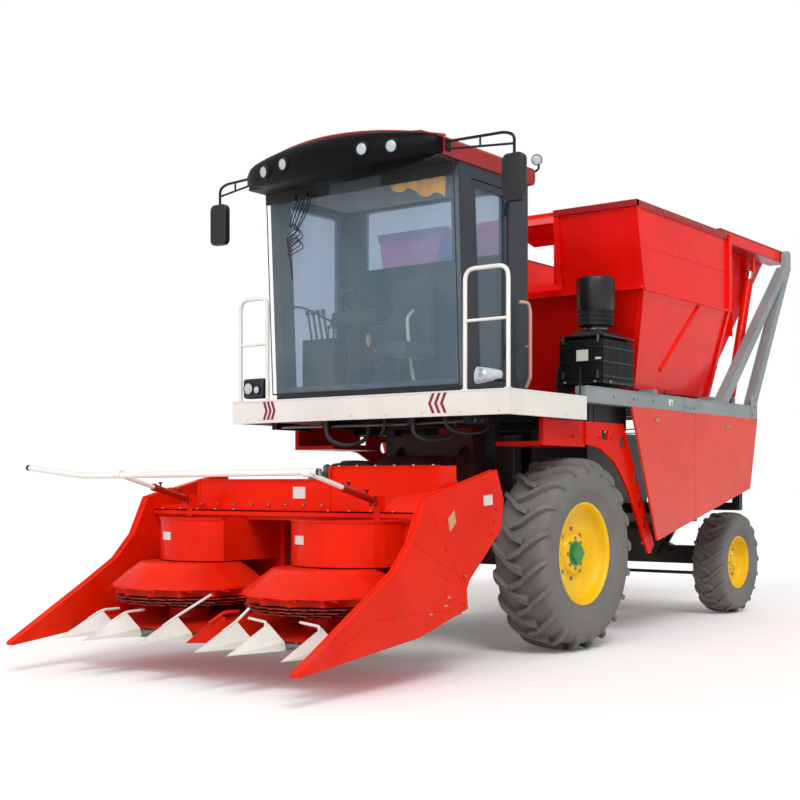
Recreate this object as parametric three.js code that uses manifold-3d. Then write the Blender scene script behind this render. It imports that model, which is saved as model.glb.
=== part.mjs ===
// Self-propelled forage harvester with a two-rotor row header, a cab and a rear-tipping crop bin.
// Millimetres, +Z up. The machine faces -Y and its left side is +X.
import * as THREE from 'three';
import { ConvexGeometry } from 'three/addons/geometries/ConvexGeometry.js';
import { mergeVertices } from 'three/addons/utils/BufferGeometryUtils.js';
import Module from 'manifold-3d';

const wasm = await Module();
wasm.setup();

// ---------------------------------------------------------------- driving dimensions
// Y = 0 is the front axle, X = 0 the middle of the machine, Z = 0 the ground.

const gap = 0.3;                 // between pieces that touch
const running = 8;               // between pieces that move past each other
const LEFT = 1;
const RIGHT = -1;
const sides = [['left', LEFT], ['right', RIGHT]];

const frontWheel = {
  tyreRadius: 715, tyreWidth: 430, track: 2000, segments: 36,
  rimRadius: 381, lip: 20, barrelWall: 14, discInset: 40, discWall: 14, hubRadius: 150, capRadius: 78,
  capOut: 60,
};
const rearWheel = {
  tyreRadius: 482, tyreWidth: 310, track: 1620, segments: 36,
  rimRadius: 250, lip: 14, barrelWall: 12, discInset: 10, discWall: 12, hubRadius: 100, capRadius: 52,
  capOut: 40,
};
const wheelbase = 3440;
const axleHeight = (wheel) => wheel.tyreRadius * Math.cos(Math.PI / wheel.segments);

const chassis = { railX: 380, railWidth: 90, bottom: 860, top: 1060, front: -220, rearOverhang: 200 };
const platform = { halfWidth: 1260, front: -1180, sideRear: -130, bottom: 1690, top: 1860, wall: 40,
  deck: 50 };
const cab = {
  halfWidth: 860, front: -1165, frontTopLean: 75, rear: -290, floor: 1893, top: 3420, wall: 60,
  postDepth: 150, rearPost: 230, sillHeight: 60, headRail: 90,
};
const roof = { halfWidth: 890, front: -1400, rear: -235, edge: 3540, crown: 3660, bottom: 3420.3 };
const visor = { halfWidth: 880, front: -1630, endFront: -1430, bottom: 3345, top: 3640 };

const bin = {
  halfWidth: 1250, front: 670, frontKnee: 810, rear: 2460, top: 3420, knee: 2750, bottom: 1990,
  bottomFront: 1060,
  bottomHalfWidth: 1040, tailHalfWidth: 990, tailRear: 3900, tailLip: 3380, wall: 30, notchHalfWidth: 520,
};
const beam = { outer: 1250, width: 90, bottom: 1822, top: 1940, front: -120, rear: 3100 };
const binPivot = { y: 3930, z: 3430 };
const tipCylinder = { x: 1080, footY: 2900, footZ: 2000, eyeY: 3380, eyeZ: 3250, radius: 42,
  rodRadius: 26 };

const header = {
  halfWidth: 1250, shieldWall: 60, tipY: -3280, rotorX: 600, rotorY: -2275, rotorRadius: 555,
  drumRadius: 430,
  hoodRadius: 400, hoodTop: 990, hoodBottom: 712, throat: 300, backY: -1700, backWall: 60,
};
const feeder = { halfWidth: 280, pivotY: -480, pivotZ: 1250, endRadius: 190 };
const liftFootDrop = 172.28;     // from the front axle's height down to the lift cylinder's foot
const liftCylinder = {
  footY: -165, footZ: axleHeight(frontWheel) - liftFootDrop, eyeY: -1250, eyeZ: 470, radius: 42,
  rodRadius: 25,
};
const sidePanel = { wall: 20, posts: [1180, 1900, 2750] };
const tank = { halfWidth: 1150, front: 180, rear: 700, bottom: 1640, top: 1809 };
const fender = { inner: 1151, wall: 18 };
const spout = { halfWidth: 165, wall: 20, front: 30, rear: 290, lip: 640, under: 3000, top: 3290 };
const kingpin = { x: 550, radius: 24, bossRadius: 48, bottom: 395, top: 640 };
const steerArm = { x: 550, y: 170, z: 375, pinRadius: 14 };

// ---------------------------------------------------------------- materials

const paint = (color, roughness = 0.45, metalness = 0.1) => ({ color, roughness, metalness });
const finishes = {
  red: paint(0xd8301c), black: paint(0x1b1b1d, 0.55), white: paint(0xe6e6e2),
  grey: paint(0x7f8a91), cabBlue: paint(0x3a434e), yellow: paint(0xf2c200), rubber: paint(0x2b2b2b, 0.9, 0),
  glass: paint(0x9fc3d6, 0.08, 0), steel: paint(0x9a9a98, 0.4, 0.8), seat: paint(0x26272a, 0.8, 0),
  lamp: paint(0xe8ecee, 0.15, 0.1),
};

// ---------------------------------------------------------------- solids

// A closed mesh becomes a solid, with its faces turned outwards and its zero-area faces dropped.
function solid(geometry) {
  const bare = new THREE.BufferGeometry();
  bare.setAttribute('position', geometry.getAttribute('position').clone());
  if (geometry.index) bare.setIndex(geometry.index.clone());
  const merged = mergeVertices(bare, 1e-3);
  const corners = merged.getAttribute('position').array;
  const index = merged.index.array;
  const at = (i) => new THREE.Vector3().fromArray(corners, 3 * i);
  const faces = [];
  let volume = 0;
  for (let i = 0; i < index.length; i += 3) {
    const [a, b, c] = [index[i], index[i + 1], index[i + 2]];
    if (a === b || b === c || c === a) continue;
    faces.push([a, b, c]);
    volume += at(a).dot(at(b).cross(at(c)));
  }
  const outward = volume > 0 ? faces : faces.map(([a, b, c]) => [a, c, b]);
  return new wasm.Manifold(new wasm.Mesh({
    numProp: 3,
    vertProperties: new Float32Array(corners),
    triVerts: new Uint32Array(outward.flat()),
  }));
}

const join = (...solids) => solids.flat().reduce((whole, next) => whole.add(next));
const cut = (whole, ...tools) => tools.flat().reduce((rest, tool) => rest.subtract(tool), whole);

function box(x0, x1, y0, y1, z0, z1) {
  const [w, d, h] = [Math.abs(x1 - x0), Math.abs(y1 - y0), Math.abs(z1 - z0)];
  return solid(new THREE.BoxGeometry(w, d, h).translate((x0 + x1) / 2, (y0 + y1) / 2, (z0 + z1) / 2));
}

function hull(points) {
  return solid(new ConvexGeometry(points.map(([x, y, z]) => new THREE.Vector3(x, y, z))));
}

// A flat outline swept along one axis. The outline is in (Y, Z), (X, Z) or (X, Y).
function sweep(outline, from, to, axis) {
  const [low, high] = [Math.min(from, to), Math.max(from, to)];
  const shape = outline instanceof THREE.Shape ? outline : new THREE.Shape(outline.map(([u,
    v]) => new THREE.Vector2(u, v)));
  const geometry = new THREE.ExtrudeGeometry(shape,
    { depth: high - low, bevelEnabled: false, curveSegments: 10 });
  const bases = {
    x: [[0, 1, 0], [0, 0, 1], [1, 0, 0]],
    y: [[1, 0, 0], [0, 0, 1], [0, -1, 0]],
    z: [[1, 0, 0], [0, 1, 0], [0, 0, 1]],
  };
  const [u, v, w] = bases[axis].map((b) => new THREE.Vector3(...b));
  geometry.applyMatrix4(new THREE.Matrix4().makeBasis(u, v, w));
  const start = axis === 'y' ? high : low;
  geometry.translate(axis === 'x' ? start : 0, axis === 'y' ? start : 0, axis === 'z' ? start : 0);
  return solid(geometry);
}

// A round bar between two points.
function rod(from, to, radius, facets = 10, endRadius = radius) {
  const [a, b] = [new THREE.Vector3(...from), new THREE.Vector3(...to)];
  const geometry = new THREE.CylinderGeometry(endRadius, radius, a.distanceTo(b), facets);
  const turn = new THREE.Quaternion().setFromUnitVectors(new THREE.Vector3(0, 1, 0),
    b.clone().sub(a).normalize());
  geometry.applyQuaternion(turn);
  const middle = a.add(b).multiplyScalar(0.5);
  return solid(geometry.translate(middle.x, middle.y, middle.z));
}

// A bent tube: straight bars with a ball at each bend.
function tube(points, radius, facets = 8) {
  const pieces = points.slice(1).map((point, i) => rod(points[i], point, radius, facets));
  const balls = points.slice(1, -1).map(([x, y, z]) => {
    return solid(new THREE.SphereGeometry(radius, facets, 6).translate(x, y, z));
  });
  return join(pieces, balls);
}

// A turned ring or disc about an axle along X; the profile is (radius, x).
function turned(profile, x, y, z, segments) {
  const points = [...profile, profile[0]].map(([r, along]) => new THREE.Vector2(r, along));
  const geometry = new THREE.LatheGeometry(points, segments);
  geometry.rotateY(Math.PI / segments);
  geometry.rotateZ(-Math.PI / 2);
  return solid(geometry.translate(x, y, z));
}

// The same about a vertical axis; the profile is (radius, z).
function turnedUp(profile, x, y, segments) {
  const points = [...profile, profile[0]].map(([r, up]) => new THREE.Vector2(r, up));
  const geometry = new THREE.LatheGeometry(points, segments);
  geometry.rotateX(Math.PI / 2);
  return solid(geometry.translate(x, y, 0));
}

// ---------------------------------------------------------------- the scene graph

const machine = new THREE.Group();

function piece(name, manifold, finish) {
  const mesh = manifold.getMesh();
  const geometry = new THREE.BufferGeometry();
  geometry.setAttribute('position', new THREE.BufferAttribute(new Float32Array(mesh.vertProperties), 3));
  geometry.setIndex(new THREE.BufferAttribute(new Uint32Array(mesh.triVerts), 1));
  geometry.computeVertexNormals();
  const node = new THREE.Mesh(geometry, new THREE.MeshStandardMaterial(finishes[finish]));
  node.name = name;
  machine.add(node);
}

// ---------------------------------------------------------------- cylinders and their pins

const eye = { radius: 32, width: 44, pinRadius: 14, bore: 14.5, cheek: 14, clear: 40 };

// Two cheeks beside a cylinder's eye, reaching to a carrier at rootZ.
function cheekPair(x, y, z, rootZ) {
  const half = eye.width / 2 + 1;
  const [low, high] = [Math.min(z - 24, rootZ), Math.max(z + 24, rootZ)];
  return join([-1, 1].map((s) => box(x + s * half, x + s * (half + eye.cheek), y - 26, y + 26, low, high)));
}

// The same with the pin that the eye turns on.
function clevis(x, y, z, rootZ) {
  const reach = eye.width / 2 + 5;
  return join(cheekPair(x, y, z, rootZ), rod([x - reach, y, z], [x + reach, y, z], eye.pinRadius, 16));
}

const along = (from, to, distance) => {
  const [a, b] = [new THREE.Vector3(...from), new THREE.Vector3(...to)];
  return a.clone().add(b.sub(a).setLength(distance)).toArray();
};

function cylinderEye([x, y, z]) {
  return rod([x - eye.width / 2, y, z], [x + eye.width / 2, y, z], eye.radius, 20);
}

function eyeBore([x, y, z]) {
  return rod([x - eye.width, y, z], [x + eye.width, y, z], eye.bore, 16);
}

// The barrel from its foot eye, open where the rod slides in it.
function barrel(foot, tip, size, length) {
  const neck = rod(foot, along(foot, tip, 60), eye.width / 2 - 2, 16);
  const body = rod(along(foot, tip, eye.clear), along(foot, tip, length), size.radius, 20);
  const bore = rod(along(foot, tip, 90), along(foot, tip, length + 5), size.rodRadius + 0.6, 20);
  return cut(join(cylinderEye(foot), neck, body), bore, eyeBore(foot));
}

function pistonRod(foot, tip, size, start) {
  const shaft = rod(along(foot, tip, start), along(tip, foot, eye.clear), size.rodRadius, 20);
  const neck = rod(tip, along(tip, foot, 60), eye.width / 2 - 2, 16);
  return cut(join(shaft, neck, cylinderEye(tip)), eyeBore(tip));
}

// ---------------------------------------------------------------- wheels

function tyre(wheel, x, y) {
  const [r, half, bead] = [wheel.tyreRadius, wheel.tyreWidth / 2, wheel.rimRadius];
  const seat = half - 22;
  const profile = [
    [bead, -seat], [bead + 24, -seat], [bead + 60, -half + 4], [r - 90, -half], [r - 22, -half + 12],
    [r, -half + 45],
    [r, half - 45], [r - 22, half - 12], [r - 90, half], [bead + 60, half - 4], [bead + 24, seat],
    [bead, seat],
  ];
  return turned(profile, x, y, axleHeight(wheel), wheel.segments);
}

function rim(wheel, x, y, side) {
  const seat = wheel.tyreWidth / 2 - 22;
  const bore = wheel.rimRadius - gap - wheel.barrelWall;
  const barrel = [
    [bore, -seat - 12], [bore + wheel.lip, -seat - 12], [bore + wheel.lip, -seat - gap],
    [wheel.rimRadius - gap, -seat - gap], [wheel.rimRadius - gap, seat + gap],
    [bore + wheel.lip, seat + gap], [bore + wheel.lip, seat + 12], [bore, seat + 12],
  ];
  const face = side * wheel.discInset;
  const inner = face - side * wheel.discWall;
  const hub = face + side * 26;
  const cap = hub + side * wheel.capOut;
  const disc = [
    [0, inner], [bore + 2, inner], [bore + 2, face], [wheel.hubRadius, face], [wheel.hubRadius, hub],
    [wheel.capRadius, hub], [wheel.capRadius, cap], [0, cap],
  ];
  const z = axleHeight(wheel);
  return join(turned(barrel, x, y, z, wheel.segments), turned(disc, x, y, z, wheel.segments));
}

for (const [name, side] of sides) {
  const [frontX, rearX] = [side * frontWheel.track / 2, side * rearWheel.track / 2];
  piece(`front_tyre_${name}`, tyre(frontWheel, frontX, 0), 'rubber');
  piece(`front_rim_${name}`, rim(frontWheel, frontX, 0, side), 'yellow');
  piece(`rear_tyre_${name}`, tyre(rearWheel, rearX, wheelbase), 'rubber');
  piece(`rear_rim_${name}`, rim(rearWheel, rearX, wheelbase, side), 'yellow');
}

// Where a rim's disc meets the axle end, measured out from the middle of the machine.
const discBack = (wheel) => wheel.track / 2 + wheel.discInset - wheel.discWall;

// ---------------------------------------------------------------- axles and chassis

function frontAxle() {
  const z = axleHeight(frontWheel);
  const beamEnd = frontWheel.track / 2 - frontWheel.tyreWidth / 2 - 60;
  const pieces = [box(-beamEnd, beamEnd, -95, 95, z - 100, z + 100)];
  for (const [, side] of sides) {
    const rail = side * chassis.railX;
    pieces.push(box(rail - 55, rail + 55, -90, 90, z, chassis.bottom - gap));
    pieces.push(rod([side * (beamEnd - 60), 0, z], [side * (beamEnd + 90), 0, z], 185, 24));
    pieces.push(rod([side * beamEnd, 0, z], [side * (discBack(frontWheel) - gap), 0, z], 120, 24));
  }
  const { footY, footZ } = liftCylinder;
  pieces.push(clevis(0, footY, footZ, z - 20), box(-40, 40, footY - 26, -80, z - 80, z - 10));
  return join(pieces);
}

const rearBeam = { halfDepth: 50, bottom: kingpin.bottom + 60, top: kingpin.top - 12 };
const pivotPin = { radius: 32, z: 590 };

function rearAxle() {
  const reach = kingpin.x - 20;
  const outline = [
    [-reach, rearBeam.bottom], [reach, rearBeam.bottom], [reach, rearBeam.top], [260, rearBeam.top],
    [120, rearBeam.top + 60], [-120, rearBeam.top + 60], [-260, rearBeam.top], [-reach, rearBeam.top],
  ];
  let axle = sweep(outline, wheelbase - rearBeam.halfDepth, wheelbase + rearBeam.halfDepth, 'y');
  for (const [, side] of sides) {
    const x = side * kingpin.x;
    const boss = rod([x, wheelbase, kingpin.bottom + 30], [x, wheelbase, kingpin.top - 10],
      kingpin.bossRadius, 20);
    axle = axle.add(boss);
  }
  const bores = sides.map(([, side]) => {
    const x = side * kingpin.x;
    return rod([x, wheelbase, kingpin.bottom], [x, wheelbase, kingpin.top + 40], kingpin.radius + 0.5, 20);
  });
  const pin = rod([0, wheelbase - 99, pivotPin.z], [0, wheelbase + 99, pivotPin.z], pivotPin.radius + gap,
    20);
  return cut(axle, bores, pin);
}

// A steering knuckle: a fork round the axle's boss, its kingpin, the stub axle and the steering arm.
function knuckle(side) {
  const x = side * kingpin.x;
  const z = axleHeight(rearWheel);
  const wallIn = kingpin.bossRadius + running;
  const fork = (z0, z1) => box(x - side * 36, x + side * (wallIn + 30), wheelbase - 42, wheelbase + 42,
    z0, z1);
  const armX = side * steerArm.x;
  const armY = wheelbase + steerArm.y;
  const lower = kingpin.bottom + 22;
  const arm = hull([-1, 1].flatMap((s) => [steerArm.z, lower].flatMap((level) => [
    [x + s * 40, wheelbase + 20, level], [armX + s * 26, armY - 10, level],
    [armX + s * 14, armY + 26, level],
  ])));
  const hole = rod([armX, armY, steerArm.z - 40], [armX, armY, lower + 40], steerArm.pinRadius + 1, 16);
  return join(
    fork(steerArm.z, lower),
    fork(kingpin.top - 10 + running, kingpin.top + 30),
    box(x + side * wallIn, x + side * (wallIn + 30), wheelbase - 42, wheelbase + 42, steerArm.z,
      kingpin.top + 30),
    rod([x, wheelbase, lower - 6], [x, wheelbase, kingpin.top + 20], kingpin.radius, 20),
    rod([x + side * wallIn, wheelbase, z], [side * (discBack(rearWheel) - gap), wheelbase, z], 44, 20),
    rod([side * (discBack(rearWheel) - 30), wheelbase, z],
      [side * (discBack(rearWheel) - gap), wheelbase, z], 80, 20),
    arm.subtract(hole),
  );
}

// The tie rod hangs under the two arms and reaches up into them with a pin at each end.
function tieRod() {
  const y = wheelbase + steerArm.y;
  const z = steerArm.z - running - 16;
  const ends = sides.map(([, side]) => join(
    rod([side * steerArm.x, y, z - 16], [side * steerArm.x, y, z + 16], 28, 16),
    rod([side * steerArm.x, y, z], [side * steerArm.x, y, kingpin.bottom + 16], steerArm.pinRadius, 16),
  ));
  return join(rod([-steerArm.x, y, z], [steerArm.x, y, z], 16, 10), ends);
}

function chassisFrame() {
  const { railX, railWidth, bottom, top, front, rearOverhang } = chassis;
  const rear = wheelbase + rearOverhang;
  const inner = railX - railWidth / 2 - gap;
  const pieces = sides.map(([, side]) => {
    const x = side * railX;
    return box(x - railWidth / 2, x + railWidth / 2, front, rear, bottom, top);
  });
  for (const y of [front + 10, 520, 1400, 2900, rear - 90]) {
    pieces.push(box(-inner - 20, inner + 20, y, y + 80, bottom + 30, top - 30));
  }
  const cheekIn = rearBeam.halfDepth + 6;
  for (const side of [-1, 1]) {
    const y = wheelbase + side * (cheekIn + 17.5);
    const cheek = [[-330, bottom + 40], [-110, pivotPin.z - 60], [110, pivotPin.z - 60],
      [330, bottom + 40]];
    pieces.push(sweep(cheek, y - 17.5, y + 17.5, 'y'));
    pieces.push(box(-360, 360, y - 17.5, y + 17.5, bottom, bottom + 60));
  }
  pieces.push(rod([0, wheelbase - cheekIn - 20, pivotPin.z], [0, wheelbase + cheekIn + 20, pivotPin.z],
    pivotPin.radius, 20));
  const frame = join(pieces);
  const postOuter = beam.outer - sidePanel.wall - gap;
  const outriggers = sidePanel.posts.flatMap((y) => sides.flatMap(([, side]) => [
    box(side * railX, side * postOuter, y, y + 70, top - 70, top),
    box(side * (postOuter - 70), side * postOuter, y, y + 70, top - 70, beam.bottom - gap),
  ]));
  const fenderStays = sides.map(([, side]) => {
    return box(side * railX, side * (fender.inner - gap), 930, 990, bottom + 10, bottom + 70);
  });
  return join(frame, outriggers, fenderStays, chassisStruts());
}

// Uprights and cross members that carry the platform and the tank over the front axle.
function chassisStruts() {
  return join([[-200, platform.bottom], [330, tank.bottom]].flatMap(([y, carried]) => {
    const under = carried - gap;
    const uprights = sides.flatMap(([, side]) => [
      box(side * 425, side * 515, y, y + 70, chassis.top - 90, under),
      box(side * 380, side * 500, y, y + 70, chassis.top - 90, chassis.top),
    ]);
    return [...uprights, box(-515, 515, y, y + 70, under - 30, under)];
  }));
}

piece('chassis_frame', chassisFrame(), 'black');
piece('front_axle', frontAxle(), 'black');
piece('rear_axle', rearAxle(), 'black');
for (const [name, side] of sides) piece(`knuckle_${name}`, knuckle(side), 'black');
piece('tie_rod', tieRod(), 'black');
piece('engine_block', box(-370, 370, 1500, 2650, chassis.top + gap, 1680), 'black');

// ---------------------------------------------------------------- chopper, feeder and spout

const chopper = { halfWidth: 370, front: feeder.pivotY + feeder.endRadius + running, rear: 300, top: 1600 };

function chopperHousing() {
  const body = box(-chopper.halfWidth, chopper.halfWidth, chopper.front, chopper.rear, chassis.top + gap,
    chopper.top);
  const cheeks = sides.map(([, side]) => {
    const inner = side * (feeder.halfWidth + running);
    const outer = inner + side * 30;
    const outline = [
      [feeder.pivotY - 60, feeder.pivotZ - 60], [feeder.pivotY - 60, feeder.pivotZ + 60],
      [chopper.front + 30, chopper.top - 60], [chopper.front + 30, chassis.top + gap],
    ];
    return sweep(outline, inner, outer, 'x');
  });
  const pins = sides.map(([, side]) => {
    const inner = feeder.halfWidth - 40;
    const outer = feeder.halfWidth + running + 10;
    return rod([side * inner, feeder.pivotY, feeder.pivotZ], [side * outer, feeder.pivotY, feeder.pivotZ],
      34, 20);
  });
  return join(body, cheeks, pins);
}

function feederHouse() {
  const { halfWidth, pivotY, pivotZ, endRadius } = feeder;
  const back = header.backY + header.backWall + gap;
  const outline = [
    [pivotY - 20, pivotZ + endRadius - 30], [back, 1010], [back, 500],
    [pivotY - 40, pivotZ - endRadius + 20],
  ];
  const trunk = sweep(outline, -halfWidth, halfWidth, 'x');
  const end = rod([-halfWidth, pivotY, pivotZ], [halfWidth, pivotY, pivotZ], endRadius, 32);
  const bore = rod([-halfWidth - 20, pivotY, pivotZ], [halfWidth + 20, pivotY, pivotZ], 34 + 0.5, 20);
  const hanger = cheekPair(0, liftCylinder.eyeY, liftCylinder.eyeZ, liftCylinder.eyeZ + 300);
  return join(cut(join(trunk, end), bore), hanger);
}

piece('chopper_housing', chopperHousing(), 'black');
piece('feeder_house', feederHouse(), 'black');

function dischargeSpout() {
  const { halfWidth, wall, front, rear, lip, top, under } = spout;
  const outer = [
    [front, chopper.top + gap], [rear, chopper.top + gap], [rear, under - 160], [rear + 60, under - 40],
    [lip, under], [lip, top], [front + 190, top], [front + 60, top - 60], [front, top - 190],
  ];
  const inner = [
    [front + wall, chopper.top - 10], [rear - wall, chopper.top - 10], [rear - wall, under - 150],
    [rear + 50, under - 40 + wall], [lip + 20, under + wall], [lip + 20, top - wall],
    [front + 200, top - wall], [front + 80, top - 60 - wall], [front + wall, top - 200],
  ];
  const body = sweep(outer, -halfWidth, halfWidth, 'x');
  return body.subtract(sweep(inner, -halfWidth + wall, halfWidth - wall, 'x'));
}
piece('discharge_spout', dischargeSpout(), 'red');

// ---------------------------------------------------------------- header lift cylinder

const liftFoot = [0, liftCylinder.footY, liftCylinder.footZ];
const liftEye = [0, liftCylinder.eyeY, liftCylinder.eyeZ];
piece('lift_cylinder', barrel(liftFoot, liftEye, liftCylinder, 640), 'black');
piece('lift_rod', pistonRod(liftFoot, liftEye, liftCylinder, 330), 'steel');

// ---------------------------------------------------------------- header

const headerInner = header.halfWidth - header.shieldWall - gap;
const pushStay = { x: 830, footY: -2060, footZ: 1120, barY: -2710, barZ: 1288 };

function headerFrame() {
  const { backY, backWall, rotorX, rotorY, hoodRadius, hoodTop, hoodBottom, throat } = header;
  const back = box(-headerInner, headerInner, backY, backY + backWall, 430, 1060);
  const mouth = box(-feeder.halfWidth + 20, feeder.halfWidth - 20, backY - 20, backY + backWall + 20, 520,
    980);
  const upper = box(-900, headerInner, -1900, backY + 10, 1010, 1255);
  const cover = box(320, headerInner, -1880, backY, 1250, 1335);
  const shelf = hull([-headerInner, headerInner].flatMap((x) => [
    [x, -2030, 985], [x, -2030, 1045], [x, backY, 1045], [x, backY, 985],
  ]));
  const hoods = sides.map(([, side]) => {
    const drum = rod([side * rotorX, -2000, hoodBottom], [side * rotorX, -2000, hoodTop], hoodRadius, 32);
    const block = box(side * throat, side * headerInner, -2000, backY + 10, hoodBottom, hoodTop);
    const keep = box(side * throat, side * headerInner, -2500, backY + 10, hoodBottom - 10, hoodTop + 10);
    return drum.add(block).intersect(keep);
  });
  const floor = hull([-headerInner, headerInner].flatMap((x) => [
    [x, backY + backWall, 440], [x, backY + backWall, 400], [x, -2700, 285], [x, -2700, 245],
  ]));
  const pads = sides.map(([, side]) => rod([side * rotorX, rotorY, 330], [side * rotorX, rotorY, 400],
    140, 24));
  const stayLugs = sides.map(([, side]) => {
    const x = side * pushStay.x;
    return box(x - 22, x + 22, pushStay.footY, -2000, 1000, pushStay.footZ + 30);
  });
  return join(cut(join(back, upper, cover), mouth), shelf, hoods, floor, pads, stayLugs);
}

function rotor(side) {
  const [x, y] = [side * header.rotorX, header.rotorY];
  const profile = [
    [0, 400 + gap], [70, 400 + gap], [70, 452], [header.drumRadius, 452], [header.drumRadius, 600],
    [header.rotorRadius, 612], [header.rotorRadius, 634], [300, 700], [0, 700],
  ];
  return turnedUp(profile, x, y, 40);
}

function headerShield(side) {
  const outline = [
    [-1319, 1318], [-1234, 1121], [-1271, 919], [-1635, 619], [-1669, 564], [-1658, 437], [-2174, 302],
    [header.tipY, 185], [header.tipY, 205], [-2632, 568], [-2404, 704], [-2240, 871], [-2112, 1129],
    [-1847, 1195],
  ];
  return sweep(outline, side * header.halfWidth, side * (header.halfWidth - header.shieldWall), 'x');
}

// Six row points and the middle one on a bar across the header's front edge, with their guide rods.
const rowPoints = [-830, -600, -130, 380, 640, 1050];

function rowDividers() {
  const bar = box(-headerInner, headerInner, -2790, -2700 - gap, 240, 290);
  const points = rowPoints.map((x) => hull([
    [x, -3200, 246], [x, -3200, 258], [x - 8, -2850, 405], [x + 8, -2850, 405],
    [x - 80, -2800, 300], [x + 80, -2800, 300], [x - 80, -2780, 243], [x + 80, -2780, 243],
  ]));
  const guides = rowPoints.map((x, i) => {
    const leadsBack = i < 4;
    const end = leadsBack ? [x, -2660, 398] : [x - 230, -2770, 415];
    return rod([x, -2846, 392], end, 9, 6);
  });
  const middle = hull([
    [205, -3100, 285], [215, -3100, 295], [190, -2720, 300], [240, -2720, 300], [200, -2760, 440],
    [230, -2760, 440],
    [190, -2780, 250], [240, -2780, 250],
  ]);
  return join(bar, points, guides, middle);
}

function pushBar() {
  const { x, footY, footZ, barY, barZ } = pushStay;
  const bar = tube([[-1771, barY, 1340], [-1180, barY, barZ - 8], [919, barY, barZ + 8]], 21);
  const stays = sides.map(([, side]) => {
    const foot = [side * x, footY - gap - 20, footZ];
    const head = [side * x, barY, barZ];
    const middle = along(foot, head, 330);
    return join(
      rod(foot, middle, 22, 10), rod(foot, head, 15, 10),
      box(side * x - 24, side * x + 24, footY - gap - 40, footY - gap, footZ - 34, footZ + 28),
    );
  });
  return join(bar, stays);
}

piece('header_frame', headerFrame(), 'red');
for (const [name, side] of sides) {
  piece(`header_shield_${name}`, headerShield(side), 'red');
  piece(`rotor_${name}`, rotor(side), 'red');
}
piece('row_dividers', rowDividers(), 'white');
piece('push_bar', pushBar(), 'white');

// ---------------------------------------------------------------- platform, tank, fenders and panels

function platformDeck() {
  const { halfWidth, front, sideRear, bottom, top, wall, deck } = platform;
  const wide = box(-halfWidth + wall + gap, halfWidth - wall - gap, front + wall + gap, sideRear,
    top - deck, top);
  const behind = beam.outer - beam.width - gap;
  const narrow = box(-behind, behind, sideRear - 10, 850, top - deck, top);
  const ribs = [-200, 80].map((y) => box(-behind, behind, y, y + 70, bottom, top - deck + 10));
  const wellHalf = spout.halfWidth + 25;
  const well = box(-wellHalf, wellHalf, spout.front - 30, spout.rear + 40, bottom - 10, top + 10);
  return cut(join(wide, narrow, ribs), well);
}

function platformSkirt() {
  const { halfWidth, front, sideRear, bottom, top, wall } = platform;
  const flanks = sides.map(([, side]) => box(side * halfWidth, side * (halfWidth - wall), front, sideRear,
    bottom, top));
  return join(box(-halfWidth, halfWidth, front, front + wall, bottom, top), flanks);
}

function fenderPlate(side) {
  const outline = [
    [20, 1689], [620, 1689], [1150, 740], [1088, 671], [1045, 675], [710, 1160], [600, 1280], [460, 1400],
    [250, 1490], [20, 1522],
  ];
  const plate = sweep(outline, side * fender.inner, side * (fender.inner + fender.wall), 'x');
  const square = box(side * 1100, side * 1200, 270, 360, 1560, 1630);
  const oval = rod([side * 1100, 600, 1545], [side * 1200, 600, 1545], 50, 20);
  const toeHolds = [0.42, 0.6, 0.78].map((t) => {
    const y = 640 + t * 470;
    const z = 1650 - t * 940;
    return box(side * 1100, side * 1200, y - 45, y + 10, z - 45, z + 60);
  });
  const guard = box(side * 760, side * (fender.inner + 5), -570, 30, 1500, 1530);
  const apron = box(side * (fender.inner - 30), side * (fender.inner + 5), -570, 30, 1510, 1689);
  return join(cut(plate, square, oval, toeHolds), guard, apron);
}

function sidePanelPlate(side) {
  const top = beam.bottom - gap;
  const outline = [[610, top], [3120, top], [2950, 1190], [1050, 780]];
  return sweep(outline, side * (beam.outer - sidePanel.wall), side * beam.outer, 'x');
}

piece('platform_deck', platformDeck(), 'grey');
piece('platform_skirt', platformSkirt(), 'white');
// The tank lies across the machine, notched for the spout.
function fuelTank() {
  const notch = spout.halfWidth + 20;
  const body = box(-tank.halfWidth, tank.halfWidth, tank.front, tank.rear, tank.bottom, tank.top);
  return body.subtract(box(-notch, notch, tank.front - 10, spout.rear + 20, tank.bottom - 10,
    tank.top + 10));
}
piece('fuel_tank', fuelTank(), 'black');
for (const [name, side] of sides) {
  piece(`fender_${name}`, fenderPlate(side), 'red');
  piece(`side_panel_${name}`, sidePanelPlate(side), 'red');
}

// ---------------------------------------------------------------- air intake

const air = { x0: 770, x1: 1158, y0: 310, y1: 820, bottom: 1985, top: 2430, canX: 980, canY: 520,
  canRadius: 150 };

function airFilterHousing() {
  const body = box(air.x0, air.x1, air.y0, air.y1, air.bottom, air.top);
  const feet = [[air.x0 + 30, air.x0 + 90], [air.x1 - 90, air.x1 - 30]].map(([x0, x1]) => {
    return box(x0, x1, air.y0 + 60, air.y1 - 60, platform.top + gap, air.bottom + 10);
  });
  const elbow = tube([[air.x0 + 10, 420, 2150], [air.x0 - 110, 420, 2150],
    [air.x0 - 110, 420, platform.top + gap]], 62, 16);
  return join(body, feet, elbow);
}

function airPrecleaner() {
  const { canX, canY, canRadius, top } = air;
  const profile = [
    [0, top + gap], [70, top + gap], [70, top + 25], [canRadius - 8, top + 30], [canRadius - 8, 2585],
    [canRadius, 2590], [canRadius, 2815], [canRadius - 20, 2830], [0, 2830],
  ];
  return turnedUp(profile, canX, canY, 28);
}

piece('air_filter_housing', airFilterHousing(), 'black');
piece('air_precleaner', airPrecleaner(), 'black');

// ---------------------------------------------------------------- cab

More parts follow.
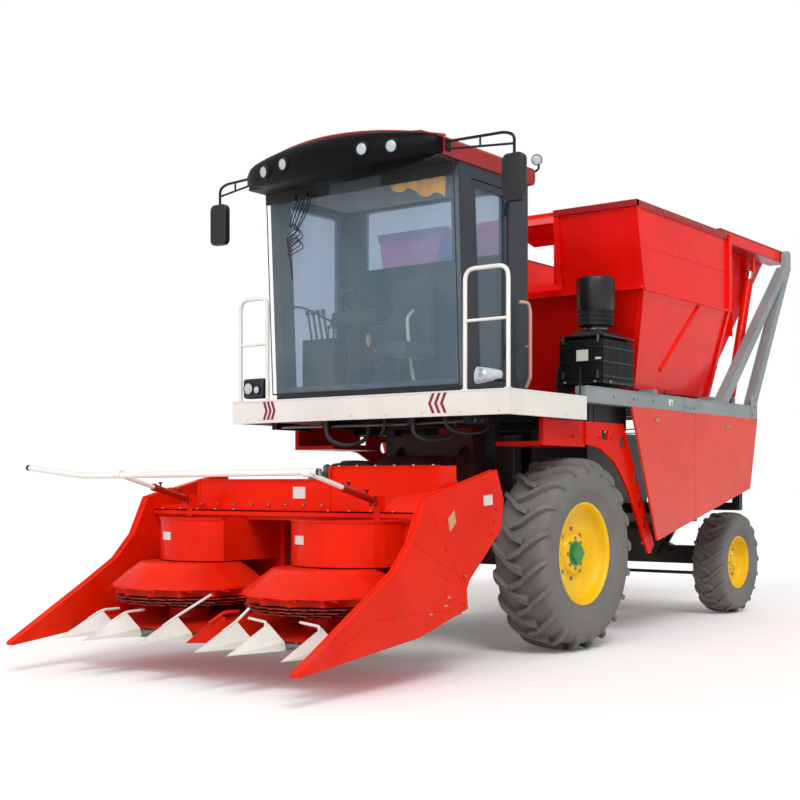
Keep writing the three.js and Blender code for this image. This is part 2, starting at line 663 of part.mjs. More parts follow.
const cabFloor = platform.top + gap;
const lean = (z) => -cab.frontTopLean * Math.max(0, (z - cab.floor) / (cab.top - cab.floor));
const glass = { wall: 8, bulge: 50, postClear: 41 };
const backWallFace = cab.rear - cab.wall;
const rearPostFace = backWallFace - cab.rearPost + 20;
const doorHinge = { x: cab.halfWidth + 12, y: rearPostFace - 3, radius: 9, height: 50,
  levels: [2120, 3140] };
const doorway = { front: -958, rear: rearPostFace - 6, bottom: 1966, top: 3324, wall: 40, frame: 48 };
const rearWindow = { left: 750, right: -620, bottom: 2920, top: 3380 };

// One half of each hinge: a barrel on the hinge line and the leaf that carries it, towards leafY.
function hingeHalves(leafX, leafY, lift) {
  const { x, y, radius, height, levels } = doorHinge;
  return join(levels.map((level) => join(
    rod([x, y, level + lift], [x, y, level + lift + height], radius, 12),
    box(leafX, x, y, leafY, level + lift, level + lift + height),
  )));
}

// A slab across the whole cab front, following its lean.
function frontSlab(x0, x1, y0, y1, z0, z1) {
  return hull([x0, x1].flatMap((x) => [
    [x, y0 + lean(z0), z0], [x, y1 + lean(z0), z0], [x, y0 + lean(z1), z1], [x, y1 + lean(z1), z1],
  ]));
}

function cabFrame() {
  const { halfWidth, front, rear, floor, top, wall, postDepth, sillHeight, headRail } = cab;
  const postFront = front + glass.postClear + glass.wall;
  const postRear = postFront + postDepth;
  const low = floor - 5;
  const floorPlate = box(-halfWidth, halfWidth, postFront, rear, cabFloor, floor);
  const back = box(-halfWidth, halfWidth, rear - wall, rear, low, top);
  const hole = rearWindow;
  const rearHole = box(hole.right, hole.left, rear - wall - 20, rear + 20, hole.bottom, hole.top);
  const posts = sides.map(([, side]) => frontSlab(side * (halfWidth - 72), side * halfWidth, postFront,
    postRear, low, top));
  const rails = sides.map(([, side]) => [
    box(side * (halfWidth - wall), side * halfWidth, postRear + lean(top) - 60, rear - 20, top - headRail,
      top),
    box(side * (halfWidth - wall), side * halfWidth, postRear - 60, rear - 20, low, floor + sillHeight),
  ]).flat();
  const cPost = box(halfWidth - wall, halfWidth, rearPostFace, rear - 10, low, top);
  const rightPost = box(-halfWidth, -halfWidth + wall, rear - wall - 80, rear - 10, low, top);
  const head = frontSlab(-halfWidth + 30, halfWidth - 30, postFront, postFront + 60, top - 80, top);
  const sill = frontSlab(-halfWidth + 30, halfWidth - 30, postFront, postFront + 60, low,
    floor + sillHeight);
  const hinges = hingeHalves(halfWidth - 10, doorHinge.y + 20, doorHinge.height + gap);
  return join(floorPlate, back.subtract(rearHole), posts, rails, cPost, rightPost, head, sill, hinges);
}

// Curved glass across the front, thin, with its middle furthest forward.
function windscreen() {
  const half = cab.halfWidth - 4;
  const ends = cab.front + glass.postClear - gap;
  const steps = 10;
  const strips = [];
  const at = (i) => {
    const x = -half + (2 * half * i) / steps;
    return [x, ends - glass.bulge * (1 - (x / half) ** 2)];
  };
  for (let i = 0; i < steps; i++) {
    const corners = [at(i), at(i + 1)];
    strips.push(hull(corners.flatMap(([x, y]) => [0, glass.wall].flatMap((inward) => {
      return [cab.floor + 5, cab.top - 4].map((z) => [x, y + inward + lean(z), z]);
    }))));
  }
  return join(strips);
}

function rightGlass() {
  const { halfWidth, front, rear, floor, top, wall, postDepth, sillHeight, headRail } = cab;
  const [low, high] = [floor + sillHeight + gap, top - headRail - gap];
  const postRear = front + glass.postClear + glass.wall + postDepth + gap;
  const back = rear - wall - 80 - gap;
  const outline = [[postRear + lean(low), low], [back, low], [back, high], [postRear + lean(high), high]];
  return sweep(outline, -halfWidth + 20, -halfWidth + 20 + glass.wall, 'x');
}

function rearGlass() {
  const y = cab.rear - cab.wall / 2;
  const { left, right, bottom, top } = rearWindow;
  return box(right + gap, left - gap, y - glass.wall / 2, y + glass.wall / 2, bottom + gap, top - gap);
}

function cabDoor() {
  const { front, rear, bottom, top, wall, frame } = doorway;
  const outer = cab.halfWidth - 5;
  const frontAt = (z) => front + lean(z);
  const outline = [[frontAt(bottom), bottom], [rear, bottom], [rear, top], [frontAt(top), top]];
  const window = [
    [frontAt(bottom) + frame, bottom + frame], [rear - frame, bottom + frame], [rear - frame, top - frame],
    [frontAt(top) + frame, top - frame],
  ];
  const leaf = sweep(outline, outer - wall, outer, 'x');
  const opening = sweep(window, outer - wall - 10, outer + 10, 'x');
  const pane = window.map(([y, z], i) => {
    return [y + (i === 0 || i === 3 ? gap : -gap), z + (i < 2 ? gap : -gap)];
  });
  const glassX = outer - wall / 2;
  const hinged = join(leaf.subtract(opening), hingeHalves(outer - 10, doorHinge.y - 22, 0));
  return [hinged, sweep(pane, glassX - glass.wall / 2, glassX + glass.wall / 2, 'x')];
}

function cabRoof() {
  const { halfWidth, front, rear, edge, crown, bottom } = roof;
  const rim = [-1, 1].flatMap((s) => [front, rear].map((y) => [s * halfWidth, y]));
  const low = rim.flatMap(([x, y]) => [[x * 0.985, y, bottom], [x, y, bottom + 30], [x, y, edge - 20],
    [x * 0.985, y, edge]]);
  const top = [-1, -0.5, 0, 0.5, 1].flatMap((t) => [
    [t * 700, front, edge + (crown - edge) * (1 - 0.45 * t * t)],
    [t * 680, rear + 90, edge + (crown - edge) * (0.8 - 0.5 * t * t)],
  ]);
  return hull([...low, ...top]);
}

function cabVisor() {
  const { halfWidth, front, endFront, bottom, top } = visor;
  const back = roof.front - gap;
  const arc = (depth) => Array.from({ length: 11 }, (_, i) => {
    const t = i / 5 - 1;
    return [t * halfWidth, endFront - (endFront - front) * (1 - t * t) * depth];
  });
  const high = (x) => top - 95 * (x / halfWidth) ** 2;
  const upper = arc(0.82).map(([x, y]) => [x * 0.98, y, high(x)]);
  const middle = arc(1).map(([x, y]) => [x, y, high(x) - 55]);
  const low = arc(0.7).map(([x, y]) => [x * 0.97, y, bottom + 75 * (x / halfWidth) ** 2]);
  const behind = [
    [-halfWidth, back, bottom + 80], [halfWidth, back, bottom + 80], [-halfWidth * 0.9, back, bottom + 40],
    [halfWidth * 0.9, back, bottom + 40], [-halfWidth, back, top - 95], [halfWidth, back, top - 95],
    [0, back, top],
    [-450, back, top - 25], [450, back, top - 25],
  ];
  return hull([...upper, ...middle, ...low, ...behind]);
}

// The seat stands on a box and its back leans towards the cab's rear wall.
const seat = {
  x: -110, boxHalf: 120, half: 240, backHalf: 220, boxFront: 370, boxRear: 130, cushionFront: 480,
  cushionRear: 70,
  backFront: 120, backRear: 50, lean: 40, narrowing: 0.85, boxTop: 2180, cushionLow: 2170,
  cushionTop: 2290, top: 2800,
};

function driverSeat() {
  const { x, boxHalf, half, backHalf, cushionTop } = seat;
  const behind = (reach) => backWallFace - reach;
  return join(
    box(x - boxHalf, x + boxHalf, behind(seat.boxFront), behind(seat.boxRear), cab.floor + gap,
      seat.boxTop),
    box(x - half, x + half, behind(seat.cushionFront), behind(seat.cushionRear), seat.cushionLow,
      cushionTop),
    hull([-backHalf, backHalf].flatMap((dx) => [seat.backFront, seat.backRear].flatMap((reach) => [
      [x + dx, behind(reach), cushionTop - 20], [x + dx * seat.narrowing, behind(reach) + seat.lean,
        seat.top],
    ]))),
  );
}

function steeringColumn() {
  const x = -200;
  const wheelZ = 2560;
  const post = hull([
    [x - 65, -1010, cab.floor + gap], [x + 65, -1010, cab.floor + gap], [x - 65, -880, cab.floor + gap],
    [x + 65, -880, cab.floor + gap], [x - 55, -1000, 2420], [x + 55, -1000, 2420], [x - 55, -900, 2420],
    [x + 55, -900, 2420],
  ]);
  const dash = hull([
    [x - 200, -1040, 2400], [x + 230, -1040, 2400], [x - 200, -900, 2400], [x + 230, -900, 2400],
    [x - 190, -1020, 2500], [x + 220, -1020, 2500], [x - 190, -930, 2480], [x + 220, -930, 2480],
  ]);
  const centre = [x + 40, -900, wheelZ];
  const rimRing = new THREE.TorusGeometry(190, 15, 8, 28).rotateX(-0.45).translate(...centre);
  const hub = rod([x + 40, -950, 2460], centre, 26, 12);
  const spokes = [0, 1, 2].map((i) => {
    const angle = (i * 2 * Math.PI) / 3 + Math.PI / 6;
    const out = new THREE.Vector3(190 * Math.cos(angle), 190 * Math.sin(angle),
      0).applyEuler(new THREE.Euler(-0.45, 0, 0));
    return rod([centre[0], centre[1], centre[2] - 8],
      [centre[0] + out.x, centre[1] + out.y, centre[2] + out.z], 11, 8);
  });
  return join(post, dash, solid(rimRing), hub, spokes);
}

function controlConsole() {
  const desk = box(10 - cab.halfWidth + cab.wall, -480, -900, backWallFace - 90, cab.floor + gap, 2330);
  const levers = [0, 1, 2, 3].map((i) => {
    const x = -760 + i * 52;
    return join(rod([x, -820, 2320], [x - 10, -860, 2540], 8, 8),
      rod([x - 10, -860, 2525], [x - 12, -867, 2560], 17, 10));
  });
  return join(desk, levers);
}

piece('cab_frame', cabFrame(), 'cabBlue');
piece('windscreen', windscreen(), 'glass');
piece('right_glass', rightGlass(), 'glass');
piece('rear_glass', rearGlass(), 'glass');
const [doorLeaf, doorPane] = cabDoor();
piece('cab_door', doorLeaf, 'cabBlue');
piece('door_glass', doorPane, 'glass');
piece('cab_roof', cabRoof(), 'red');
piece('cab_visor', cabVisor(), 'black');
piece('driver_seat', driverSeat(), 'seat');
piece('steering_column', steeringColumn(), 'black');
piece('control_console', controlConsole(), 'black');

// ---------------------------------------------------------------- handrails, lamps and mirrors

const railY = platform.front + 19;

function handrail(x0, x1, top, middle) {
  const foot = platform.top + gap;
  return join(
    tube([[x0, railY, foot], [x0, railY, top], [x1, railY, top], [x1, railY, foot]], 15),
    rod([x0, railY, middle], [x1, railY, middle], 11, 8),
    [x0, x1].map((x) => box(x - 19, x + 19, railY - 19, railY + 19, foot, foot + 8)),
  );
}

function headlamp(x0, x1, y0, y1) {
  const bottom = 1890;
  const body = hull([[x0, y0], [x1, y0], [x0 + 15, y1],
    [x1 - 15, y1]].flatMap(([x, y]) => [[x, y, bottom], [x, y, 2030]]));
  const middle = (x0 + x1) / 2;
  return join(body, box(middle - 30, middle + 30, y0 + 20, y1 - 10, platform.top + gap, bottom + 5));
}

const mirror = { leftX: 1390, rightX: 1250, y: -1330, top: 3360, bottom: 3050, width: 165, depth: 60 };

function mirrorArm(side) {
  const start = side * (roof.halfWidth + gap);
  const armRoot = start + side * 12;
  const x = side * (side === LEFT ? mirror.leftX : mirror.rightX);
  const y = mirror.y;
  const plate = box(start, armRoot, -1396, -1340, 3440, 3520);
  const arms = tube([[armRoot - side * 4, -1368, 3505], [x - side * 60, y, 3500], [x, y, 3470],
    [x, y, mirror.top - 10]], 11);
  const brace = rod([armRoot - side * 4, -1368, 3455], [x, y, 3425], 9, 8);
  const [half, deep] = [mirror.width / 2, mirror.depth / 2];
  const head = hull([[-1, -1], [1, -1], [-1, 1], [1, 1]].flatMap(([a, b]) => [
    [x + a * (half - 14), y + b * deep, mirror.top], [x + a * half, y + b * deep, mirror.top - 30],
    [x + a * half, y + b * deep, mirror.bottom + 30], [x + a * (half - 20), y + b * deep, mirror.bottom],
  ]));
  return join(plate, arms, brace, head);
}

piece('handrail_left', handrail(893, 1238, 2680, 2330), 'white');
piece('handrail_right', handrail(-1195, -915, 2640, 2290), 'white');
piece('headlamp_left', headlamp(975, 1195, -1165, -1085), 'lamp');
piece('headlamp_right', headlamp(-1160, -960, -1120, -1010), 'black');
for (const [name, side] of sides) piece(`mirror_${name}`, mirrorArm(side), 'black');

// ---------------------------------------------------------------- bin, its frame and tip cylinders

const tailBeam = { inner: 1035, outer: 1185, bottom: 3380, top: 3480, front: 2440, rear: 3985 };
const pivotLug = { inner: tailBeam.outer + running, pin: 26 };

function binFrame() {
  const { outer, width, bottom, top, front, rear } = beam;
  const inner = outer - width;
  const apex = binPivot.z - 105;
  const pieces = sides.flatMap(([, side]) => [
    box(side * inner, side * outer, front, rear, bottom, top),
    sweep([[2300, top - 20], [2450, top - 20], [binPivot.y + 20, apex], [binPivot.y - 90, apex]],
      side * inner, side * (outer - 5), 'x'),
    sweep([[2990, top - 20], [3098, top - 20], [binPivot.y + 60, apex], [binPivot.y - 40, apex]],
      side * inner, side * (outer - 5), 'x'),
    sweep([
      [binPivot.y - 85, apex - 20], [binPivot.y + 55, apex - 20], [binPivot.y + 55, binPivot.z + 30],
      [binPivot.y + 30, binPivot.z + 55], [binPivot.y - 30, binPivot.z + 55],
      [binPivot.y - 55, binPivot.z + 30],
    ], side * pivotLug.inner, side * (outer - 5), 'x'),
    rod([side * (tailBeam.inner - 10), binPivot.y, binPivot.z],
      [side * (pivotLug.inner + 10), binPivot.y, binPivot.z], pivotLug.pin, 20),
  ]);
  const seat = bin.bottom - gap;
  const cross = [[1150, seat], [2290, seat], [tipCylinder.footY - 35, top - 10]].map(([y, high]) => {
    return box(-inner - 5, inner + 5, y, y + 70, bottom + 20, high);
  });
  const feet = sides.map(([, side]) => {
    return clevis(side * tipCylinder.x, tipCylinder.footY, tipCylinder.footZ, top - 30);
  });
  return join(pieces, cross, feet);
}

// The outside of the bin, or with an inset the space inside it.
function binShell(inset, lid) {
  const { halfWidth, front, frontKnee, rear, top, knee, bottom, bottomFront, bottomHalfWidth } = bin;
  const w = (half) => [-(half - inset), half - inset];
  const upper = hull(w(halfWidth).flatMap((x) => [
    [x, front + inset, top + lid], [x, rear - inset, top + lid], [x, frontKnee + inset, knee],
    [x, rear - inset, knee],
  ]));
  const lower = hull([
    ...w(halfWidth).flatMap((x) => [[x, frontKnee + inset, knee + 1], [x, rear - inset, knee + 1]]),
    ...w(bottomHalfWidth).flatMap((x) => [[x, bottomFront + inset, bottom + inset],
      [x, rear - inset, bottom + inset]]),
  ]);
  const tailFront = inset ? rear - inset - 20 : rear - 100;
  const tail = hull(w(bin.tailHalfWidth).flatMap((x) => [
    [x, tailFront, bottom + inset * 1.5], [x, rear, bottom + inset * 1.5], [x, tailFront, top + lid],
    [x, bin.tailRear - inset * 1.5, top + lid], [x, bin.tailRear - inset * 1.5, bin.tailLip + inset * 0.5],
  ]));
  return join(upper, lower, tail);
}

function binBody() {
  const shell = binShell(0, 0).subtract(binShell(bin.wall, 60));
  const notch = box(-bin.notchHalfWidth, bin.notchHalfWidth, bin.front - 50, bin.frontKnee + 120,
    bin.knee + 60, bin.top + 80);
  const ledge = sweep([
    [bin.frontKnee - 60, bin.knee], [bin.frontKnee + 20, bin.knee], [bin.frontKnee + 20, bin.knee + 28],
    [bin.frontKnee - 60, bin.knee + 28],
  ], -bin.halfWidth, bin.halfWidth, 'x');
  const beams = sides.map(([, side]) => {
    const { inner, outer, bottom, top, front, rear } = tailBeam;
    return join(
      box(side * inner, side * outer, front, rear, bottom, top),
      box(side * (bin.tailHalfWidth - 20), side * (inner + 10), 2700, 2780, bottom + 10, bin.top),
      box(side * (bin.tailHalfWidth - 20), side * (inner + 10), 3700, 3780, bottom + 10, bin.top),
      cheekPair(side * tipCylinder.x, tipCylinder.eyeY, tipCylinder.eyeZ, bottom + 10),
    );
  });
  const bores = sides.map(([, side]) => {
    return rod([side * (tailBeam.inner - 30), binPivot.y, binPivot.z],
      [side * (tailBeam.outer + 20), binPivot.y, binPivot.z], pivotLug.pin + 2, 20);
  });
  return cut(join(shell.subtract(notch), ledge, beams, binHood()), bores);
}

// The arched cover over the bin's mouth, which the spout blows under.
function binHood() {
  const half = bin.notchHalfWidth;
  const over = [[660, 3330], [860, 3440], [1150, 3520], [1500, 3545], [1850, 3530], [2100, 3480]];
  const under = [[2100, 3450], [1850, 3500], [1500, 3515], [1150, 3490], [880, 3410], [690, 3320]];
  const cover = sweep([...over, ...under], -half, half, 'x');
  const cheek = [...over.slice(0, 5), [1850, 3240], [1300, 3120], [900, 3020], [700, 2990]];
  const cheeks = sides.map(([, side]) => sweep(cheek, side * (half - 5), side * (half + 20), 'x'));
  return join(cover, cheeks);
}

piece('bin_frame', binFrame(), 'grey');
piece('bin_body', binBody(), 'red');
for (const [name, side] of sides) {
  const foot = [side * tipCylinder.x, tipCylinder.footY, tipCylinder.footZ];
  const tip = [side * tipCylinder.x, tipCylinder.eyeY, tipCylinder.eyeZ];
  piece(`tip_cylinder_${name}`, barrel(foot, tip, tipCylinder, 1230), 'red');
  piece(`tip_rod_${name}`, pistonRod(foot, tip, tipCylinder, 110), 'steel');
}

// ---------------------------------------------------------------- place on the ground, centred

const bounds = new THREE.Box3().setFromObject(machine);
const centre = bounds.getCenter(new THREE.Vector3());
machine.position.set(-centre.x, -centre.y, -bounds.min.z);

const harvester = new THREE.Group();
harvester.add(machine);
export default harvester;
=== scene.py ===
from math import atan2, cos, exp, hypot, pi, radians, sin, tau

import bmesh
import bpy
from mathutils import Matrix, Vector


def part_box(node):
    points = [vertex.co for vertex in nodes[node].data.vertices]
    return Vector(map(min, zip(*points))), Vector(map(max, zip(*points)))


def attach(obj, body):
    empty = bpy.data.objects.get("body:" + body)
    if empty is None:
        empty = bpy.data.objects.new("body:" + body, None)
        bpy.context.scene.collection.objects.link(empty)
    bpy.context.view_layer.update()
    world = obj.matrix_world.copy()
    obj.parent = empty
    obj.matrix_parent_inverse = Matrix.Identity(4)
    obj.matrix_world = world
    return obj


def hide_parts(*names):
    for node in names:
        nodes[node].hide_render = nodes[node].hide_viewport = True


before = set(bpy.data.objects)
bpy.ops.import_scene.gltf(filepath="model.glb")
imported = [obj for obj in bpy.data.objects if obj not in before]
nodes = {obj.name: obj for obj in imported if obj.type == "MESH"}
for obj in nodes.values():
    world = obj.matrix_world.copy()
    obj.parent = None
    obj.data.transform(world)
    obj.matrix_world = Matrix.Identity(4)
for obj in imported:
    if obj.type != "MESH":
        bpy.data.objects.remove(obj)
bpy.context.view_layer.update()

# Every size below is in millimetres from the midplane, the front axle and the ground.
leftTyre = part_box("front_tyre_left")
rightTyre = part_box("front_tyre_right")
midplane = (leftTyre[0].x + rightTyre[1].x) / 2
axleLine = (leftTyre[0].y + leftTyre[1].y) / 2


def at(x, y, z):
    return Vector((midplane + x / 1000, axleLine + y / 1000, z / 1000))


# camera, floor and light
view = dict(place=(5900, -8590, 1220), turn=36.8, lens=59.4, sensor=36, rise=0.106)
studio = dict(
    sky=0.62, floorTint="f6f6f5", floorSize=120, floorDepth=0.002,
    lamps=(
        dict(name="keySun", turn=(44, 0, 48), power=1.5, spread=22),
        dict(name="fillSun", turn=(60, 0, 6), power=0.9, spread=40),
    ),
)


def linear(tint):
    values = [int(tint[i:i + 2], 16) / 255 for i in (0, 2, 4)]
    light = [v / 12.92 if v <= 0.04045 else ((v + 0.055) / 1.055) ** 2.4 for v in values]
    return (*light, 1.0)


scene = bpy.context.scene
scene.view_settings.view_transform = "Standard"

cameraData = bpy.data.cameras.new("camera")
cameraData.lens = view["lens"]
cameraData.sensor_width = view["sensor"]
cameraData.shift_y = view["rise"]
cameraData.clip_end = 400
camera = bpy.data.objects.new("camera", cameraData)
camera.location = at(*view["place"])
camera.rotation_euler = (radians(90), 0, radians(view["turn"]))
scene.collection.objects.link(camera)
scene.camera = camera

world = bpy.data.worlds.new("sky")
scene.world = world
world.use_nodes = True
skyNodes = world.node_tree.nodes
skyLinks = world.node_tree.links
skyNodes.clear()
skyLight = skyNodes.new("ShaderNodeBackground")
skyLight.inputs["Strength"].default_value = studio["sky"]
skySeen = skyNodes.new("ShaderNodeBackground")
skySeen.inputs["Strength"].default_value = 1.0
skyLight.inputs["Color"].default_value = (1, 1, 1, 1)
skySeen.inputs["Color"].default_value = (1, 1, 1, 1)
rays = skyNodes.new("ShaderNodeLightPath")
cameraOrGlass = skyNodes.new("ShaderNodeMath")
cameraOrGlass.operation = "MAXIMUM"
skyMix = skyNodes.new("ShaderNodeMixShader")
skyOut = skyNodes.new("ShaderNodeOutputWorld")
skyLinks.new(rays.outputs["Is Camera Ray"], cameraOrGlass.inputs[0])
skyLinks.new(rays.outputs["Is Transmission Ray"], cameraOrGlass.inputs[1])
skyLinks.new(cameraOrGlass.outputs[0], skyMix.inputs[0])
skyLinks.new(skyLight.outputs[0], skyMix.inputs[1])
skyLinks.new(skySeen.outputs[0], skyMix.inputs[2])
skyLinks.new(skyMix.outputs[0], skyOut.inputs["Surface"])

for lamp in studio["lamps"]:
    lampData = bpy.data.lights.new(lamp["name"], "SUN")
    lampData.energy = lamp["power"]
    lampData.angle = radians(lamp["spread"])
    lampObject = bpy.data.objects.new(lamp["name"], lampData)
    lampObject.rotation_euler = [radians(a) for a in lamp["turn"]]
    scene.collection.objects.link(lampObject)
print("camera and lights are set")

# surface effects that several finishes share
def newGroup(name, inputs, outputs):
    group = bpy.data.node_groups.new(name, "ShaderNodeTree")
    for label, kind, value in inputs:
        socket = group.interface.new_socket(label, in_out="INPUT", socket_type=kind)
        socket.default_value = value
    for label, kind in outputs:
        group.interface.new_socket(label, in_out="OUTPUT", socket_type=kind)
    return group, group.nodes.new("NodeGroupInput"), group.nodes.new("NodeGroupOutput")


def math(tree, operation, first, second=None, clamp=False):
    node = tree.nodes.new("ShaderNodeMath")
    node.operation = operation
    node.use_clamp = clamp
    for slotIndex, value in enumerate((first, second)):
        if value is None:
            continue
        if isinstance(value, (int, float)):
            node.inputs[slotIndex].default_value = value
        else:
            tree.links.new(value, node.inputs[slotIndex])
    return node.outputs[0]


def noise(tree, scale, detail=4.0, roughness=0.55, distortion=0.0):
    place = tree.nodes.new("ShaderNodeTexCoord")
    node = tree.nodes.new("ShaderNodeTexNoise")
    node.inputs["Detail"].default_value = detail
    node.inputs["Roughness"].default_value = roughness
    node.inputs["Distortion"].default_value = distortion
    if isinstance(scale, (int, float)):
        node.inputs["Scale"].default_value = scale
    else:
        tree.links.new(scale, node.inputs["Scale"])
    tree.links.new(place.outputs["Object"], node.inputs["Vector"])
    return node.outputs["Fac"]


def spread(tree, value, low, high):
    node = tree.nodes.new("ShaderNodeMapRange")
    node.inputs["From Min"].default_value = low
    node.inputs["From Max"].default_value = high
    tree.links.new(value, node.inputs["Value"])
    return node.outputs["Result"]


def makeEdgeWear():
    group, given, made = newGroup(
        "edgeWear",
        (("Width", "NodeSocketFloat", 0.004), ("Amount", "NodeSocketFloat", 0.5)),
        (("Mask", "NodeSocketFloat"),),
    )
    rounded = group.nodes.new("ShaderNodeBevel")
    rounded.samples = 4
    group.links.new(given.outputs["Width"], rounded.inputs["Radius"])
    flat = group.nodes.new("ShaderNodeNewGeometry")
    dot = group.nodes.new("ShaderNodeVectorMath")
    dot.operation = "DOT_PRODUCT"
    group.links.new(rounded.outputs["Normal"], dot.inputs[0])
    group.links.new(flat.outputs["Normal"], dot.inputs[1])
    edge = spread(group, math(group, "SUBTRACT", 1.0, dot.outputs["Value"]), 0.02, 0.22)
    patches = spread(group, noise(group, 34, 5, 0.7), 0.42, 0.62)
    worn = math(group, "MULTIPLY", math(group, "MULTIPLY", edge, patches), given.outputs["Amount"], True)
    group.links.new(worn, made.inputs["Mask"])
    return group


def makeDust():
    group, given, made = newGroup(
        "settledDust",
        (("Top", "NodeSocketFloat", 1.2), ("Amount", "NodeSocketFloat", 0.4)),
        (("Mask", "NodeSocketFloat"),),
    )
    place = group.nodes.new("ShaderNodeTexCoord")
    parts = group.nodes.new("ShaderNodeSeparateXYZ")
    group.links.new(place.outputs["Object"], parts.inputs[0])
    nearGround = math(group, "DIVIDE", parts.outputs["Z"], given.outputs["Top"])
    nearGround = math(group, "SUBTRACT", 1.0, nearGround, True)
    surface = group.nodes.new("ShaderNodeNewGeometry")
    facing = group.nodes.new("ShaderNodeSeparateXYZ")
    group.links.new(surface.outputs["Normal"], facing.inputs[0])
    lying = spread(group, facing.outputs["Z"], 0.3, 1.0)
    cloud = spread(group, noise(group, 3.1, 6, 0.62), 0.36, 0.68)
    where = math(group, "ADD", nearGround, math(group, "MULTIPLY", lying, 0.35), True)
    where = math(group, "MULTIPLY", where, cloud)
    group.links.new(math(group, "MULTIPLY", where, given.outputs["Amount"], True), made.inputs["Mask"])
    return group


def makeSheetRelief():
    group, given, made = newGroup(
        "sheetRelief",
        (("Wave", "NodeSocketFloat", 1.0), ("Peel", "NodeSocketFloat", 1.0)),
        (("Height", "NodeSocketFloat"),),
    )
    wave = math(group, "MULTIPLY", noise(group, 1.7, 1, 0.4), given.outputs["Wave"])
    peel = math(group, "MULTIPLY", noise(group, 260, 2, 0.5), given.outputs["Peel"])
    group.links.new(math(group, "ADD", wave, math(group, "MULTIPLY", peel, 0.004)), made.inputs["Height"])
    return group


def makeGrain():
    group, given, made = newGroup(
        "mouldedGrain",
        (("Scale", "NodeSocketFloat", 180.0),),
        (("Height", "NodeSocketFloat"), ("Shade", "NodeSocketFloat")),
    )
    fine = noise(group, given.outputs["Scale"], 3, 0.6)
    broad = noise(group, 5, 4, 0.6)
    group.links.new(fine, made.inputs["Height"])
    group.links.new(math(group, "ADD", math(group, "MULTIPLY", fine, 0.4),
                         math(group, "MULTIPLY", broad, 0.6)), made.inputs["Shade"])
    return group


def makeWeave():
    # crossed threads that run along the sheet in both directions
    group, given, made = newGroup(
        "clothWeave",
        (("Threads", "NodeSocketFloat", 260.0),),
        (("Height", "NodeSocketFloat"), ("Shade", "NodeSocketFloat")),
    )
    place = group.nodes.new("ShaderNodeTexCoord")
    parts = group.nodes.new("ShaderNodeSeparateXYZ")
    group.links.new(place.outputs["Object"], parts.inputs[0])
    warp = math(group, "SINE", math(group, "MULTIPLY", parts.outputs["X"], given.outputs["Threads"]))
    rise = math(group, "ADD", parts.outputs["Y"], parts.outputs["Z"])
    weft = math(group, "SINE", math(group, "MULTIPLY", rise, given.outputs["Threads"]))
    crossing = math(group, "MULTIPLY", warp, weft)
    group.links.new(spread(group, crossing, -1.0, 1.0), made.inputs["Height"])
    fade = spread(group, noise(group, 11, 4, 0.6), 0.35, 0.7)
    group.links.new(math(group, "ADD", math(group, "MULTIPLY", fade, 0.75),
                         math(group, "MULTIPLY", noise(group, 420, 2, 0.5), 0.25)), made.inputs["Shade"])
    return group


edgeWear = makeEdgeWear()
clothWeave = makeWeave()
settledDust = makeDust()
sheetRelief = makeSheetRelief()
mouldedGrain = makeGrain()


def placeGroup(tree, group, **values):
    node = tree.nodes.new("ShaderNodeGroup")
    node.node_tree = group
    for label, value in values.items():
        node.inputs[label].default_value = value
    return node


def blendColour(tree, mask, under, over):
    node = tree.nodes.new("ShaderNodeMix")
    node.data_type = "RGBA"
    for index, value in ((6, under), (7, over)):
        if isinstance(value, str):
            node.inputs[index].default_value = linear(value)
        else:
            tree.links.new(value, node.inputs[index])
    tree.links.new(mask, node.inputs[0])
    return node.outputs[2]


def newMaterial(name):
    material = bpy.data.materials.new(name)
    material.use_nodes = True
    tree = material.node_tree
    return material, tree, tree.nodes["Principled BSDF"]


def bump(tree, shader, height, strength, distance):
    node = tree.nodes.new("ShaderNodeBump")
    node.inputs["Strength"].default_value = strength
    node.inputs["Distance"].default_value = distance
    tree.links.new(height, node.inputs["Height"])
    tree.links.new(node.outputs["Normal"], shader.inputs["Normal"])


def paint(name, colour, shade, rough=(0.22, 0.36), coat=0.15, dust="8a7a66", dustAmount=0.4, dustTop=1.2,
          wear="5a1410", wearAmount=0.35, wearWidth=0.004, wave=0.6,
          shine=0.22):
    material, tree, shader = newMaterial(name)
    patches = spread(tree, noise(tree, 2.3, 5, 0.6), 0.3, 0.72)
    base = blendColour(tree, patches, colour, shade)
    worn = placeGroup(tree, edgeWear, Width=wearWidth, Amount=wearAmount).outputs["Mask"]
    base = blendColour(tree, worn, base, wear)
    dusty = placeGroup(tree, settledDust, Top=dustTop, Amount=dustAmount).outputs["Mask"]
    base = blendColour(tree, dusty, base, dust)
    tree.links.new(base, shader.inputs["Base Color"])
    gloss = math(tree, "MULTIPLY", spread(tree, noise(tree, 6.0, 6, 0.65), 0.3, 0.7), rough[1] - rough[0])
    gloss = math(tree, "ADD", gloss, rough[0])
    gloss = math(tree, "ADD", gloss, math(tree, "MULTIPLY", dusty, 0.5), True)
    tree.links.new(gloss, shader.inputs["Roughness"])
    shader.inputs["Coat Weight"].default_value = coat
    shader.inputs["Coat Roughness"].default_value = 0.12
    shader.inputs["Specular IOR Level"].default_value = shine
    relief = placeGroup(tree, sheetRelief, Wave=wave, Peel=1.0).outputs["Height"]
    bump(tree, shader, relief, 0.35, 0.02)
    return material


